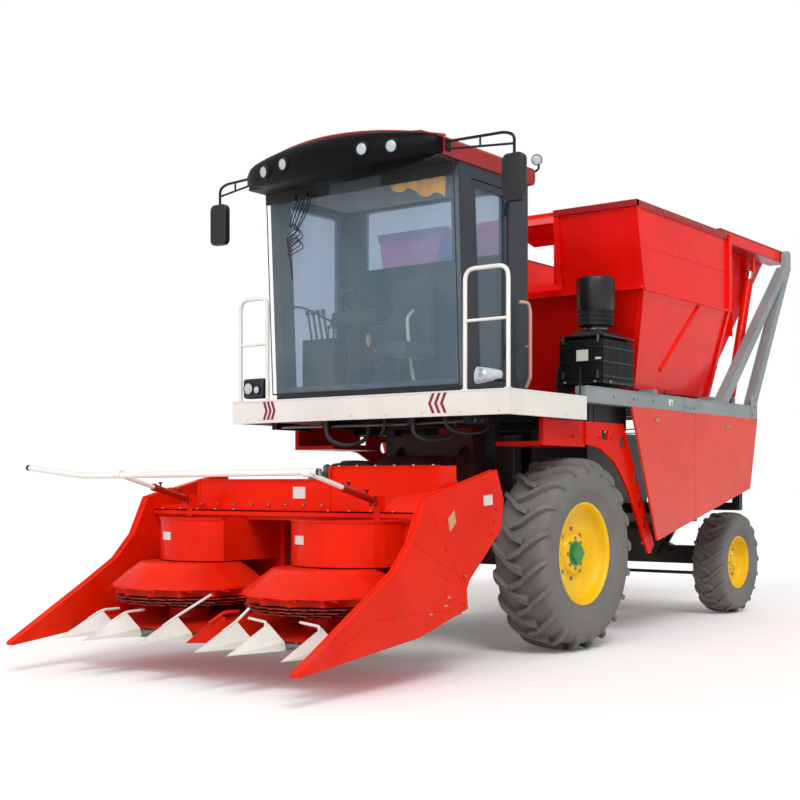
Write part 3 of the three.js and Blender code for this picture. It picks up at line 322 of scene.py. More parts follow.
def plastic(name, colour, shade, rough=0.5, grain=180.0, depth=0.25, dust="8a7a66", dustAmount=0.25,
            dustTop=1.6, shine=0.5):
    material, tree, shader = newMaterial(name)
    surface = placeGroup(tree, mouldedGrain, Scale=grain)
    base = blendColour(tree, spread(tree, surface.outputs["Shade"], 0.35, 0.65), colour, shade)
    dusty = placeGroup(tree, settledDust, Top=dustTop, Amount=dustAmount).outputs["Mask"]
    tree.links.new(blendColour(tree, dusty, base, dust), shader.inputs["Base Color"])
    gloss = math(tree, "ADD", math(tree, "MULTIPLY", surface.outputs["Shade"], 0.2), rough - 0.1)
    tree.links.new(math(tree, "ADD", gloss, math(tree, "MULTIPLY", dusty, 0.4), True),
                   shader.inputs["Roughness"])
    shader.inputs["Specular IOR Level"].default_value = shine
    bump(tree, shader, surface.outputs["Height"], depth, 0.001)
    return material


def fabric(name, colour, shade, threads=1500.0, rough=0.85, depth=0.5):
    material, tree, shader = newMaterial(name)
    surface = placeGroup(tree, clothWeave, Threads=threads)
    base = blendColour(tree, surface.outputs["Shade"], colour, shade)
    tree.links.new(base, shader.inputs["Base Color"])
    gloss = math(tree, "ADD", math(tree, "MULTIPLY", surface.outputs["Height"], 0.1), rough - 0.05)
    tree.links.new(gloss, shader.inputs["Roughness"])
    shader.inputs["Sheen Weight"].default_value = 0.35
    shader.inputs["Sheen Roughness"].default_value = 0.4
    bump(tree, shader, surface.outputs["Height"], depth, 0.0008)
    return material


def metal(name, colour, shade, rough=0.3, dustAmount=0.2):
    material, tree, shader = newMaterial(name)
    surface = placeGroup(tree, mouldedGrain, Scale=90.0)
    base = blendColour(tree, surface.outputs["Shade"], colour, shade)
    dusty = placeGroup(tree, settledDust, Top=1.2, Amount=dustAmount).outputs["Mask"]
    tree.links.new(blendColour(tree, dusty, base, "7d7263"), shader.inputs["Base Color"])
    gloss = math(tree, "ADD", math(tree, "MULTIPLY", surface.outputs["Height"], 0.3), rough - 0.15)
    tree.links.new(gloss, shader.inputs["Roughness"])
    shader.inputs["Metallic"].default_value = 1.0
    bump(tree, shader, surface.outputs["Height"], 0.15, 0.0006)
    return material


def glass(name, tint, rough=0.02, clear=0.8, dustAmount=0.12, hazeTint="b9cbd6"):
    material, tree, shader = newMaterial(name)
    film = spread(tree, noise(tree, 2.2, 5, 0.65), 0.35, 0.75)
    tree.links.new(blendColour(tree, film, tint, hazeTint), shader.inputs["Base Color"])
    haze = math(tree, "MULTIPLY", film, dustAmount)
    tree.links.new(math(tree, "ADD", haze, rough), shader.inputs["Roughness"])
    tree.links.new(math(tree, "ADD", math(tree, "MULTIPLY", haze, 0.4), 1 - clear), shader.inputs["Alpha"])
    shader.inputs["Coat Weight"].default_value = 0.6
    shader.inputs["Coat Roughness"].default_value = 0.02
    return material


finish = dict(
    red=paint("machineRed", "e01600", "c81000", coat=0.05, dustAmount=0.12, shine=0.08),
    headerRed=paint("headerRed", "e62200", "d01600", rough=(0.28, 0.42), coat=0.06, dustAmount=0.13,
                    dustTop=1.0,
                    shine=0.08),
    drumRed=paint("drumRed", "a81400", "861004", rough=(0.3, 0.5), coat=0.2, dustAmount=0.5, dustTop=0.9),
    binRed=paint("binRed", "ee1206", "dc0c04", rough=(0.25, 0.4), coat=0.2, dustAmount=0.08, wave=1.0,
                 shine=0.15),
    # the lighter, pinker red of the side panels is a painted sky reflection laid over the machine red
    paintedReflectionPanelRed=paint("paintedReflectionPanelRed", "de4030", "d23626", rough=(0.28, 0.42), coat=0.25, dustAmount=0.3, dustTop=1.6,
                   wave=0.9),
    roofRed=paint("roofRed", "a81a1c", "92141a", rough=(0.3, 0.45), coat=0.2, dustAmount=0.1, dustTop=0.1),
    # the very dark red of the parts under the body is painted shade over the machine red; the settled dust
    # near the ground is real dirt
    paintedShadeRed=paint("paintedShadeRed", "4c1310", "2c0f0e", rough=(0.35, 0.55), coat=0.1, dustAmount=0.6, dustTop=1.7),
    white=paint("offWhite", "e6e3de", "d9d5ce", rough=(0.3, 0.45), coat=0.25, dustAmount=0.35, dustTop=1.0,
                wear="8a8377", wearAmount=0.5),
    railWhite=paint("railWhite", "e9e8e4", "dddbd5", rough=(0.25, 0.4), coat=0.3, dustAmount=0.15,
                    wear="8d877b", wearAmount=0.5, wave=0.0),
    grey=paint("beamGrey", "8f9698", "7c8386", rough=(0.35, 0.5), coat=0.15, dustAmount=0.2, dustTop=1.0,
               wear="4b4d4c", wearAmount=0.6),
    black=paint("frameBlack", "131416", "0c0c0e", rough=(0.35, 0.5), coat=0.1, dustAmount=0.3, dustTop=1.3,
                wear="55504a", wearAmount=0.4, wave=0.1),
    cab=paint("cabPaint", "2b333c", "222932", rough=(0.3, 0.42), coat=0.3, dustAmount=0.15, wear="5d6164",
              wearAmount=0.3, wave=0.1),
    rim=paint("rimYellow", "f2c60c", "e8b208", rough=(0.3, 0.45), coat=0.2, dustAmount=0.25, dustTop=1.1,
              wear="8b6a18", wearAmount=0.5, wave=0.0),
    hubGreen=paint("hubGreen", "2f8a4a", "25743d", rough=(0.3, 0.45), coat=0.3, dustAmount=0.3, wave=0.0,
                   wear="274a30", wearAmount=0.5),
    rubber=plastic("tyreRubber", "626260", "72706c", rough=0.72, grain=140.0, depth=0.5, dust="6f675c",
                   dustAmount=0.45, dustTop=1.4),
    plastic=plastic("blackPlastic", "0e0f11", "191a1d", rough=0.4, grain=220.0),
    visor=plastic("visorPlastic", "030304", "050507", rough=0.42, grain=60.0, depth=0.02, dustAmount=0.0,
                  shine=0.12),
    rubberHose=plastic("rubberHose", "1a1a1b", "232323", rough=0.6, grain=260.0),
    seat=fabric("seatCloth", "2b2d33", "3d4048"),
    chrome=metal("rodChrome", "d7d9da", "b8babb", rough=0.25, dustAmount=0.05),
    steel=metal("bareSteel", "9a9a98", "7d7b77", rough=0.45, dustAmount=0.35),
    divider=metal("dividerSheet", "dcdcd9", "bdbcb8", rough=0.5, dustAmount=0.25),
    zinc=metal("zincBolt", "b9b6a6", "97927f", rough=0.4, dustAmount=0.2),
    glass=glass("cabGlass", "98bacd", clear=0.88, dustAmount=0.05),
    # the bright blue tint and blue haze of the rear and right panes are painted sky seen through and
    # reflected in the glass
    paintedSkyGlass=glass("rearCabGlassPaintedSky", "58b4ff", clear=0.5, dustAmount=0.02, hazeTint="8cc8ff"),
    lining=fabric("roofLining", "4a5058", "3c4148", threads=900.0, rough=0.9, depth=0.2),
    lens=glass("lampLens", "e8eef0", clear=0.35, dustAmount=0.1),
    lampGlass=glass("lampGlass", "b9bcbd", clear=0.1, dustAmount=0.2),
    stripe=paint("maroonStripe", "8f2433", "7d1f2d", rough=(0.35, 0.5), coat=0.1, wave=0.0),
    label=paint("blankLabel", "dcdad2", "cfccc3", rough=(0.4, 0.55), coat=0.1, dustAmount=0.1, wave=0.0,
                wear="b7b1a3", wearAmount=0.3),
    tan=paint("scuffTan", "c9a478", "b68e62", rough=(0.45, 0.6), coat=0.0, wave=0.0),
    pink=paint("gripPink", "c79a8f", "b98a80", rough=(0.35, 0.5), coat=0.1, wave=0.0),
    sunshade=fabric("sunCurtain", "ffd23a", "f08c22", threads=2400.0, rough=0.7, depth=0.3),
)
print("finishes are made")

# finishes for the CAD nodes themselves
nodeFinish = dict(
    black="chassis_frame front_axle rear_axle fuel_tank knuckle_left knuckle_right tie_rod headlamp_right "
          "steering_column platform_deck",
    plastic="air_filter_housing air_precleaner mirror_left mirror_right control_console engine_block",
    cab="cab_frame cab_door",
    glass="windscreen door_glass",
    # rear and right panes get the painted sky blue
    paintedSkyGlass="right_glass rear_glass",
    lens="headlamp_left",
    roofRed="cab_roof",
    visor="cab_visor",
    seat="driver_seat",
    white="platform_skirt",
    railWhite="handrail_left handrail_right",
    grey="bin_frame",
    rubber="front_tyre_left front_tyre_right rear_tyre_left rear_tyre_right",
    rim="front_rim_left front_rim_right rear_rim_left rear_rim_right",
    binRed="bin_body discharge_spout",
    # side panels get the paler red of a painted sky reflection
    paintedReflectionPanelRed="side_panel_left side_panel_right",
    # feeder house and chopper housing get the dark red of painted shade
    paintedShadeRed="chopper_housing feeder_house",
    red="fender_left fender_right tip_cylinder_left tip_cylinder_right lift_cylinder",
    headerRed="header_frame header_shield_left header_shield_right",
    drumRed="rotor_left rotor_right",
    divider="row_dividers push_bar",
    chrome="lift_rod tip_rod_left tip_rod_right",
)
for finishName, members in nodeFinish.items():
    for nodeName in members.split():
        nodes[nodeName].data.materials.clear()
        nodes[nodeName].data.materials.append(finish[finishName])
print("CAD nodes are painted")


# modelling tools, all in millimetres
def newShape():
    return bmesh.new()


def addBox(shape, low, high):
    middle = [(a + b) / 2 for a, b in zip(low, high)]
    size = [b - a for a, b in zip(low, high)]
    place = Matrix.Translation(middle) @ Matrix.Diagonal((*size, 1))
    return bmesh.ops.create_cube(shape, size=1, matrix=place)["verts"]


def facing(direction):
    return Vector(direction).to_track_quat("Z", "Y").to_matrix().to_4x4()


def addRod(shape, start, end, radius, sides=14, endRadius=None):
    start, end = Vector(start), Vector(end)
    place = Matrix.Translation((start + end) / 2) @ facing(end - start)
    bmesh.ops.create_cone(shape, cap_ends=True, segments=sides, radius1=radius, depth=(end - start).length,
                          radius2=radius if endRadius is None else endRadius, matrix=place)


def addPlate(shape, outline, thickness):
    sheet = shape.faces.new([shape.verts.new(p) for p in outline])
    grown = bmesh.ops.extrude_face_region(shape, geom=[sheet])["geom"]
    moved = [g for g in grown if isinstance(g, bmesh.types.BMVert)]
    bmesh.ops.translate(shape, verts=moved, vec=thickness)


def addTurned(shape, profile, centre, axis, steps=32):
    turn = Matrix.Translation(centre) @ facing(axis)
    points = [shape.verts.new(turn @ Vector((radius, 0, along))) for radius, along in profile]
    edges = [shape.edges.new(pair) for pair in zip(points, points[1:])]
    bmesh.ops.spin(shape, geom=points + edges, cent=centre, axis=Vector(axis).normalized(), angle=tau,
                   steps=steps, use_merge=True)


def rounded(points, radius, steps=5):
    points = [Vector(p) for p in points]
    path = [points[0]]
    for before, corner, after in zip(points, points[1:], points[2:]):
        inward, outward = (before - corner), (after - corner)
        reach = min(radius, inward.length * 0.45, outward.length * 0.45)
        enter = corner + inward.normalized() * reach
        leave = corner + outward.normalized() * reach
        for step in range(steps + 1):
            t = step / steps
            path.append(enter * (1 - t) ** 2 + corner * 2 * t * (1 - t) + leave * t ** 2)
    path.append(points[-1])
    return path


def addPipe(shape, points, radius, sides=10, bend=60):
    path = rounded(points, bend)
    frameTurn = (path[1] - path[0]).to_track_quat("Z", "Y")
    heading = (path[1] - path[0]).normalized()
    rings = []
    for index, point in enumerate(path):
        ahead = path[min(index + 1, len(path) - 1)] - path[max(index - 1, 0)]
        frameTurn = heading.rotation_difference(ahead.normalized()) @ frameTurn
        heading = ahead.normalized()
        place = Matrix.Translation(point) @ frameTurn.to_matrix().to_4x4()
        isEnd = index in (0, len(path) - 1)
        ring = bmesh.ops.create_circle(shape, cap_ends=isEnd, segments=sides, radius=radius,
                                       matrix=place)["verts"]
        rings.append({e for v in ring for e in v.link_edges})
    for first, second in zip(rings, rings[1:]):
        bmesh.ops.bridge_loops(shape, edges=[*first, *second])


def addBolt(shape, place, direction, size=9):
    place, direction = Vector(place), Vector(direction).normalized()
    addRod(shape, place - direction * size * 0.3, place + direction * size * 0.25, size * 1.25, 12)
    addRod(shape, place, place + direction * size * 0.9, size, 6, size * 0.92)


def addBolts(shape, start, end, count, direction, size=9):
    start, end = Vector(start), Vector(end)
    for index in range(count):
        addBolt(shape, start.lerp(end, index / max(count - 1, 1)), direction, size)


def softenEdges(shape, width, segments=2, steepest=30):
    sharp = [e for e in shape.edges if e.is_manifold and e.calc_face_angle(0) > radians(steepest)]
    bmesh.ops.bevel(shape, geom=sharp, offset=width, offset_type="OFFSET", segments=segments, profile=0.5,
                    affect="EDGES", material=-1, clamp_overlap=True)


def finishPiece(shape, name, coat, body, smooth=35):
    bmesh.ops.remove_doubles(shape, verts=shape.verts, dist=0.02)
    bmesh.ops.dissolve_degenerate(shape, edges=shape.edges, dist=0.01)
    bmesh.ops.recalc_face_normals(shape, faces=shape.faces)
    bmesh.ops.scale(shape, verts=shape.verts, vec=(0.001, 0.001, 0.001))
    bmesh.ops.translate(shape, verts=shape.verts, vec=(midplane, axleLine, 0))
    mesh = bpy.data.meshes.new(name)
    shape.to_mesh(mesh)
    shape.free()
    mesh.materials.append(finish[coat])
    mesh.shade_smooth()
    mesh.set_sharp_from_angle(angle=radians(smooth))
    made = bpy.data.objects.new(name, mesh)
    scene.collection.objects.link(made)
    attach(made, body)
    return made


def sideName(side):
    return "left" if side > 0 else "right"


def addSorted(shape, first, second):
    addBox(shape, [min(a, b) for a, b in zip(first, second)], [max(a, b) for a, b in zip(first, second)])

# tyres with lugs, and dished rims
frontTyre = dict(
    axle=(1000, 0, 712.28), outer=713.2, halfWidth=214, carcass=670, middle=545, bead=384, beadHalf=176,
    lugs=20, skew=15, lugWidth=44, lugFoot=62, steps=72, rows=9, nose=-7, tail=80, capFinish="hubGreen",
    rim=dict(flange=381, barrel=352, depth=44, disc=70, discRadius=338, hub=150, hubOut=92, cap=78,
             capOut=128,
             studs=8, studCircle=112, studSize=11, outer=176),
)
rearTyre = dict(
    axle=(810, 3440, 480.17), outer=479.4, halfWidth=154, carcass=455, middle=365, bead=252, beadHalf=128,
    lugs=18, skew=17, lugWidth=32, lugFoot=46, steps=60, rows=7, nose=-8, tail=78, capFinish="rim",
    rim=dict(flange=250, barrel=228, depth=30, disc=52, discRadius=218, hub=100, hubOut=64, cap=52, capOut=92,
             studs=6, studCircle=74, studSize=8, outer=128),
)


def section(tyre, angle):
    # one point of the round outer wall: across the tyre, and out from the axle
    s, c = sin(angle), cos(angle)
    across = tyre["halfWidth"] * (1 if s > 0 else -1) * abs(s) ** 0.62
    out = tyre["middle"] + (tyre["carcass"] - tyre["middle"]) * (1 if c > 0 else -1) * abs(c) ** 0.42
    return across, out


def makeTyre(tyre, side, body, node):
    shape = newShape()
    x, y, z = tyre["axle"]
    centre = (side * x, y, z)
    profile = [(tyre["bead"], -tyre["beadHalf"])]
    for index in range(-11, 12):
        across, out = section(tyre, radians(index * 11.2))
        profile.append((max(out, tyre["bead"]), across))
    profile.append((tyre["bead"], tyre["beadHalf"]))
    profile.append((tyre["bead"] - 2, 0))
    profile.append((tyre["bead"], -tyre["beadHalf"]))
    addTurned(shape, profile, centre, (side, 0, 0), tyre["steps"])
    pitch = tau / tyre["lugs"]
    for hand in (1, -1):
        for index in range(tyre["lugs"]):
            base = pitch * (index + (0.5 if hand < 0 else 0))
            addLug(shape, tyre, centre, base, hand, side)
    made = finishPiece(shape, node + "_treaded", "rubber", body, smooth=48)
    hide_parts(node)


def addLug(shape, tyre, centre, base, hand, side):
    rings = []
    rows = tyre["rows"]
    for row in range(rows + 1):
        t = row / rows
        angle = radians(tyre["nose"] + (tyre["tail"] - tyre["nose"]) * t)
        across, out = section(tyre, angle)
        aheadAcross, aheadOut = section(tyre, angle + 0.02)
        run = hypot(aheadAcross - across, aheadOut - out)
        normal = ((aheadOut - out) / -run, (aheadAcross - across) / run)
        lift = (tyre["outer"] - tyre["carcass"] - 1) * (1 - 0.72 * max(0, (t - 0.45) / 0.55) ** 1.5)
        turn = base + radians(tyre["skew"]) * (max(across, 0) / tyre["halfWidth"]) ** 0.85 * (1 + 0.12 * t)
        narrow = 1 - 0.25 * t
        corners = []
        for offset, level in ((-0.5 * tyre["lugFoot"], -8), (-0.5 * tyre["lugWidth"], lift),
                              (0.5 * tyre["lugWidth"], lift), (0.5 * tyre["lugFoot"], -8)):
            wide = across + normal[0] * level
            radius = out + normal[1] * level
            place = turn + offset * narrow / radius
            corners.append(shape.verts.new((centre[0] + hand * wide, centre[1] - radius * cos(place),
                                            centre[2] + radius * sin(place))))
        rings.append(corners)
    for first, second in zip(rings, rings[1:]):
        for a in range(4):
            b = (a + 1) % 4
            shape.faces.new((first[a], first[b], second[b], second[a]))
    shape.faces.new(rings[0])
    shape.faces.new(list(reversed(rings[-1])))


def makeRim(tyre, side, body, node):
    rim = tyre["rim"]
    x, y, z = tyre["axle"]
    centre = Vector((side * x, y, z))
    shape = newShape()
    edge = rim["outer"]
    profile = [
        (rim["flange"], edge - 16), (rim["flange"], edge - 2), (rim["flange"] - 7, edge + 2),
        (rim["flange"] - 15, edge - 2),
        (rim["barrel"] + 6, edge - 14), (rim["barrel"], edge - 34), (rim["barrel"] - 2, edge - 80),
        (rim["discRadius"] - 8, edge - 96), (rim["discRadius"] - 40, edge - 104),
        (rim["hub"] + 40, rim["disc"] - 18),
        (rim["hub"] + 14, rim["disc"] - 10), (rim["hub"], rim["disc"] + 4),
        (rim["hub"] - 4, rim["hubOut"] - 6),
        (rim["hub"] - 12, rim["hubOut"]), (rim["cap"], rim["hubOut"]), (rim["cap"] - 2, rim["hubOut"] - 20),
        (0, rim["hubOut"] - 20), (0, rim["disc"] - 44), (rim["hub"] - 10, rim["disc"] - 40),
        (rim["discRadius"] - 50, edge - 124), (rim["barrel"] + 2, edge - 110),
        (rim["barrel"] + 10, edge - 40),
        (rim["flange"] - 12, edge - 18), (rim["flange"], edge - 16),
    ]
    addTurned(shape, profile, centre, (side, 0, 0), 64)
    cap = newShape()
    capProfile = [(0, rim["capOut"]), (rim["cap"] - 16, rim["capOut"]), (rim["cap"] - 8, rim["capOut"] - 5),
                  (rim["cap"] - 6, rim["hubOut"] + 8), (rim["cap"] + 14, rim["hubOut"] + 6),
                  (rim["cap"] + 14, rim["hubOut"] - 1), (0, rim["hubOut"] - 1)]
    addTurned(cap, capProfile, centre, (side, 0, 0), 40)
    studs = newShape()
    for index in range(rim["studs"]):
        turn = tau * index / rim["studs"]
        for ring, size, level in ((rim["studCircle"], rim["studSize"], rim["hubOut"]),
                                  (rim["hub"] + 34, rim["studSize"] + 2, rim["disc"] - 14)):
            spot = centre + Vector((side * level, ring * cos(turn), ring * sin(turn)))
            addBolt(studs, spot, (side, 0, 0), size)
    made = finishPiece(shape, node + "_dished", "rim", body, smooth=50)
    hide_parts(node)
    finishPiece(cap, node + "_hub_cap", tyre["capFinish"], body)
    finishPiece(studs, node + "_studs", "zinc", body)


for side in (1, -1):
    name = sideName(side)
    makeTyre(frontTyre, side, "front_wheel_" + name, "front_tyre_" + name)
    makeRim(frontTyre, side, "front_wheel_" + name, "front_rim_" + name)
    makeTyre(rearTyre, side, "rear_wheel_" + name, "rear_tyre_" + name)
    makeRim(rearTyre, side, "rear_wheel_" + name, "rear_rim_" + name)
print("wheels are made")

# gathering rotors
rotorLook = dict(
    x=600, y=-2275, neck=336, neckZ=704, rim=524, rimZ=560, scallops=14, scallopDepth=16, facets=56,
    tines=14, tineTip=560, tineRoot=470, tineZ=556, flutes=14, fluteOuter=496, fluteInner=440, fluteTop=560,
    fluteBottom=496, wheels=((486, 506, 26), (464, 494, 22), (446, 470, 20)), foot=404,
)


def makeRotor(side):
    look = rotorLook
    name = sideName(side)
    centre = Vector((side * look["x"], look["y"], 0))
    cone = newShape()
    profile = [(0, look["neckZ"]), (look["neck"], look["neckZ"]), (look["neck"] + 8, look["neckZ"] - 6),
               (432, 632), (look["rim"], look["rimZ"]), (look["rim"] + 3, look["rimZ"] - 14),
               (look["rim"] - 4, look["rimZ"] - 12), (428, 622), (look["neck"] - 10, 690), (0, 690)]
    addTurned(cone, profile, centre, (0, 0, 1), look["facets"])
    for vert in cone.verts:
        away = vert.co - centre
        reach = hypot(away.x, away.y)
        if reach > look["rim"] - 12:
            turn = atan2(away.y, away.x) * look["scallops"] / 2
            pull = 1 - look["scallopDepth"] * (1 - abs(sin(turn))) / reach
            vert.co.x = centre.x + away.x * pull
            vert.co.y = centre.y + away.y * pull
            vert.co.z -= 7 * (1 - abs(sin(turn)))
    made = finishPiece(cone, "rotor_cone_" + name, "headerRed", "rotor_" + name, smooth=22)
    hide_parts("rotor_" + name)

    tines = newShape()
    for index in range(look["tines"]):
        turn = Matrix.Rotation(tau * (index + 0.25) / look["tines"], 4, "Z")
        flat = [(look["tineRoot"], -26), (look["rim"] - 6, -20), (look["tineTip"], 16),
                (look["tineTip"] - 2, 22), (look["rim"] - 12, 10), (look["tineRoot"], 20)]
        outline = []
        for x, y in flat:
            z = look["tineZ"] - 12 - (x - look["tineRoot"]) * 0.08
            outline.append(centre + turn @ Vector((x, y, z)))
        addPlate(tines, outline, (0, 0, -5))
    finishPiece(tines, "rotor_tines_" + name, "headerRed", "rotor_" + name)

    drum = newShape()
    rings = []
    count = look["flutes"] * 6
    for level in (look["fluteTop"], look["fluteBottom"]):
        ring = bmesh.ops.create_circle(drum, cap_ends=True, segments=count, radius=1,
                                       matrix=Matrix.Translation(centre + Vector((0, 0, level))))["verts"]
        for vert in ring:
            away = vert.co - centre
            wave = abs(sin(atan2(away.y, away.x) * look["flutes"] / 2)) ** 0.6
            reach = look["fluteOuter"] - (look["fluteOuter"] - look["fluteInner"]) * wave
            vert.co.x = centre.x + away.x * reach
            vert.co.y = centre.y + away.y * reach
        rings.append({e for v in ring for e in v.link_edges})
    bmesh.ops.bridge_loops(drum, edges=[*rings[0], *rings[1]])
    finishPiece(drum, "rotor_pockets_" + name, "headerRed", "rotor_" + name, smooth=50)

    wheels = newShape()
    for level, radius, teeth in look["wheels"]:
        ring = []
        for index in range(teeth):
            for part, reach in ((0.0, radius - 30), (0.3, radius), (0.42, radius + 2), (0.55, radius - 30)):
                turn = tau * (index + part) / teeth
                ring.append(centre + Vector((reach * cos(turn), reach * sin(turn), level)))
        addPlate(wheels, ring, (0, 0, -7))
    addTurned(wheels, [(0, 500), (392, 500), (392, 462), (look["foot"], 456), (70, 452), (70, look["foot"]),
                       (0, look["foot"])], centre, (0, 0, 1), 40)
    finishPiece(wheels, "rotor_toothed_wheels_" + name, "drumRed", "rotor_" + name)


makeRotor(1)
makeRotor(-1)

# row dividers across the front edge
dividerLook = dict(
    rows=(-830, -600, -130, 380, 640, 1050), tip=(-3200, 250), ridge=(-2850, 408), half=84, back=-2800,
    low=246,
    rodEnds=((0, -2700, 402), (0, -2690, 404), (40, -2590, 520), (14, -2752, 472)),
    sheet=4, rodRadius=9, bar=(-2790, -2702, 242, 288), middle=210,
)


def makeDividers():
    look = dividerLook
    sheets, rods, under = newShape(), newShape(), newShape()
    for index, x in enumerate(look["rows"]):
        tip = Vector((x, *look["tip"]))
        ridge = Vector((x, *look["ridge"]))
        for hand in (1, -1):
            heel = Vector((x + hand * look["half"], look["back"], look["low"] + 52))
            toe = Vector((x + hand * look["half"], look["back"] + 16, look["low"]))
            inward = Vector((-hand * look["sheet"] * 0.8, 0, -look["sheet"] * 0.6))
            addPlate(sheets, (tip, ridge, heel), inward)
            addPlate(sheets, (tip, heel, toe), (-hand * look["sheet"], 0, 0))
            addPlate(under, (toe + Vector((0, 4, 2)), toe + Vector((-hand * look["half"], 4, 2)),
                             toe + Vector((-hand * look["half"], 60, 2)), toe + Vector((0, 60, 2))),
                     (0, 0, 5))
        if index < 4:
            reach = [(x, -2960, 352), (x, -2846, 402),
                     (x + look["rodEnds"][index][0], *look["rodEnds"][index][1:])]
        else:
            reach = [(x + 6, -2880, 392), (x - 20, -2846, 412), (x - 230, -2770, 417)]
        addPipe(rods, reach, look["rodRadius"], 8, 40)
        addBolt(under, (x, -2820, 300), (0, -0.5, 1), 8)
    made = finishPiece(sheets, "row_divider_sheets", "white", "header", smooth=20)
    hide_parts("row_dividers")
    finishPiece(rods, "row_guide_rods", "railWhite", "header")
    low, high = look["bar"][2], look["bar"][3]
    addBox(under, (-1188, look["bar"][0], low), (1188, look["bar"][1], high))
    for x in range(-1100, 1101, 110):
        addPlate(under, ((x - 26, look["bar"][0], low + 16), (x, look["bar"][0] - 62, low + 12),
                         (x + 26, look["bar"][0], low + 16)), (0, 0, 6))
        addBolt(under, (x, look["bar"][0] + 40, high), (0, 0, 1), 8)
    finishPiece(under, "knife_bar", "steel", "header")
    nose = newShape()
    x = look["middle"]
    for hand in (1, -1):
        addPlate(nose, ((x, -3100, 285), (x, -2790, 440), (x + hand * 34, -2730, 300),
                        (x + hand * 20, -2900, 268)), (-hand * 4, 0, -2))
    addPipe(nose, ((x, -2900, 384), (x, -2780, 440), (x, -2650, 436)), 12, 8, 40)
    finishPiece(nose, "middle_divider", "headerRed", "header", smooth=20)


makeDividers()

# crop push bar
pushLook = dict(
    left=(-1771, -2710, 1340), bend=(-1180, -2710, 1280), right=(919, -2710, 1296), radius=20,
    stays=830, foot=(-2082, 1120), head=(-2710, 1288), share=0.48,
)


def makePushBar():
    look = pushLook
    bar, sleeves, knobs = newShape(), newShape(), newShape()
    addPipe(bar, (look["left"], look["bend"], look["right"]), look["radius"], 14, 90)
    left, bend, right = Vector(look["left"]), Vector(look["bend"]), Vector(look["right"])
    addRod(knobs, left, left + (bend - left).normalized() * 24, look["radius"] + 1, 14)
    addRod(knobs, right, right - (right - bend).normalized() * 16, look["radius"] + 1, 14)
    for hand in (1, -1):
        foot = Vector((hand * look["stays"], *look["foot"]))
        head = Vector((hand * look["stays"], *look["head"]))
        half = foot.lerp(head, look["share"])
        addPipe(bar, (half, head + Vector((0, 8, -2))), 15, 12)
        addRod(bar, head - Vector((34, 0, -2)), head + Vector((34, 0, 2)), look["radius"] + 6, 14)
        addRod(sleeves, foot, half + (head - foot).normalized() * 14, 23, 14)
        addRod(sleeves, half - (head - foot).normalized() * 8, half + (head - foot).normalized() * 16, 27, 14)
        addBox(sleeves, (foot.x - 23, foot.y - 26, foot.z - 34), (foot.x + 23, foot.y - 2, foot.z + 28))
        for share in (0.12, 0.4):
            spot = foot.lerp(head, share)
            addRod(knobs, spot, spot + Vector((0, 0, 46)), 6, 8)
            addRod(knobs, spot + Vector((-14, 0, 46)), spot + Vector((14, 0, 46)), 6, 8)
    made = finishPiece(bar, "push_bar_pipe", "railWhite", "header")
    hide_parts("push_bar")
    finishPiece(sleeves, "push_bar_sleeves", "drumRed", "header")
    finishPiece(knobs, "push_bar_ends", "black", "header")


makePushBar()

# sheet-metal detail on the header frame
trimLook = dict(inner=1190, lip=-2030, boxFront=-1900, boxLeft=-900, boxTop=1255, coverTop=1335, hood=400,
                hoodY=-2000, sheet=6)


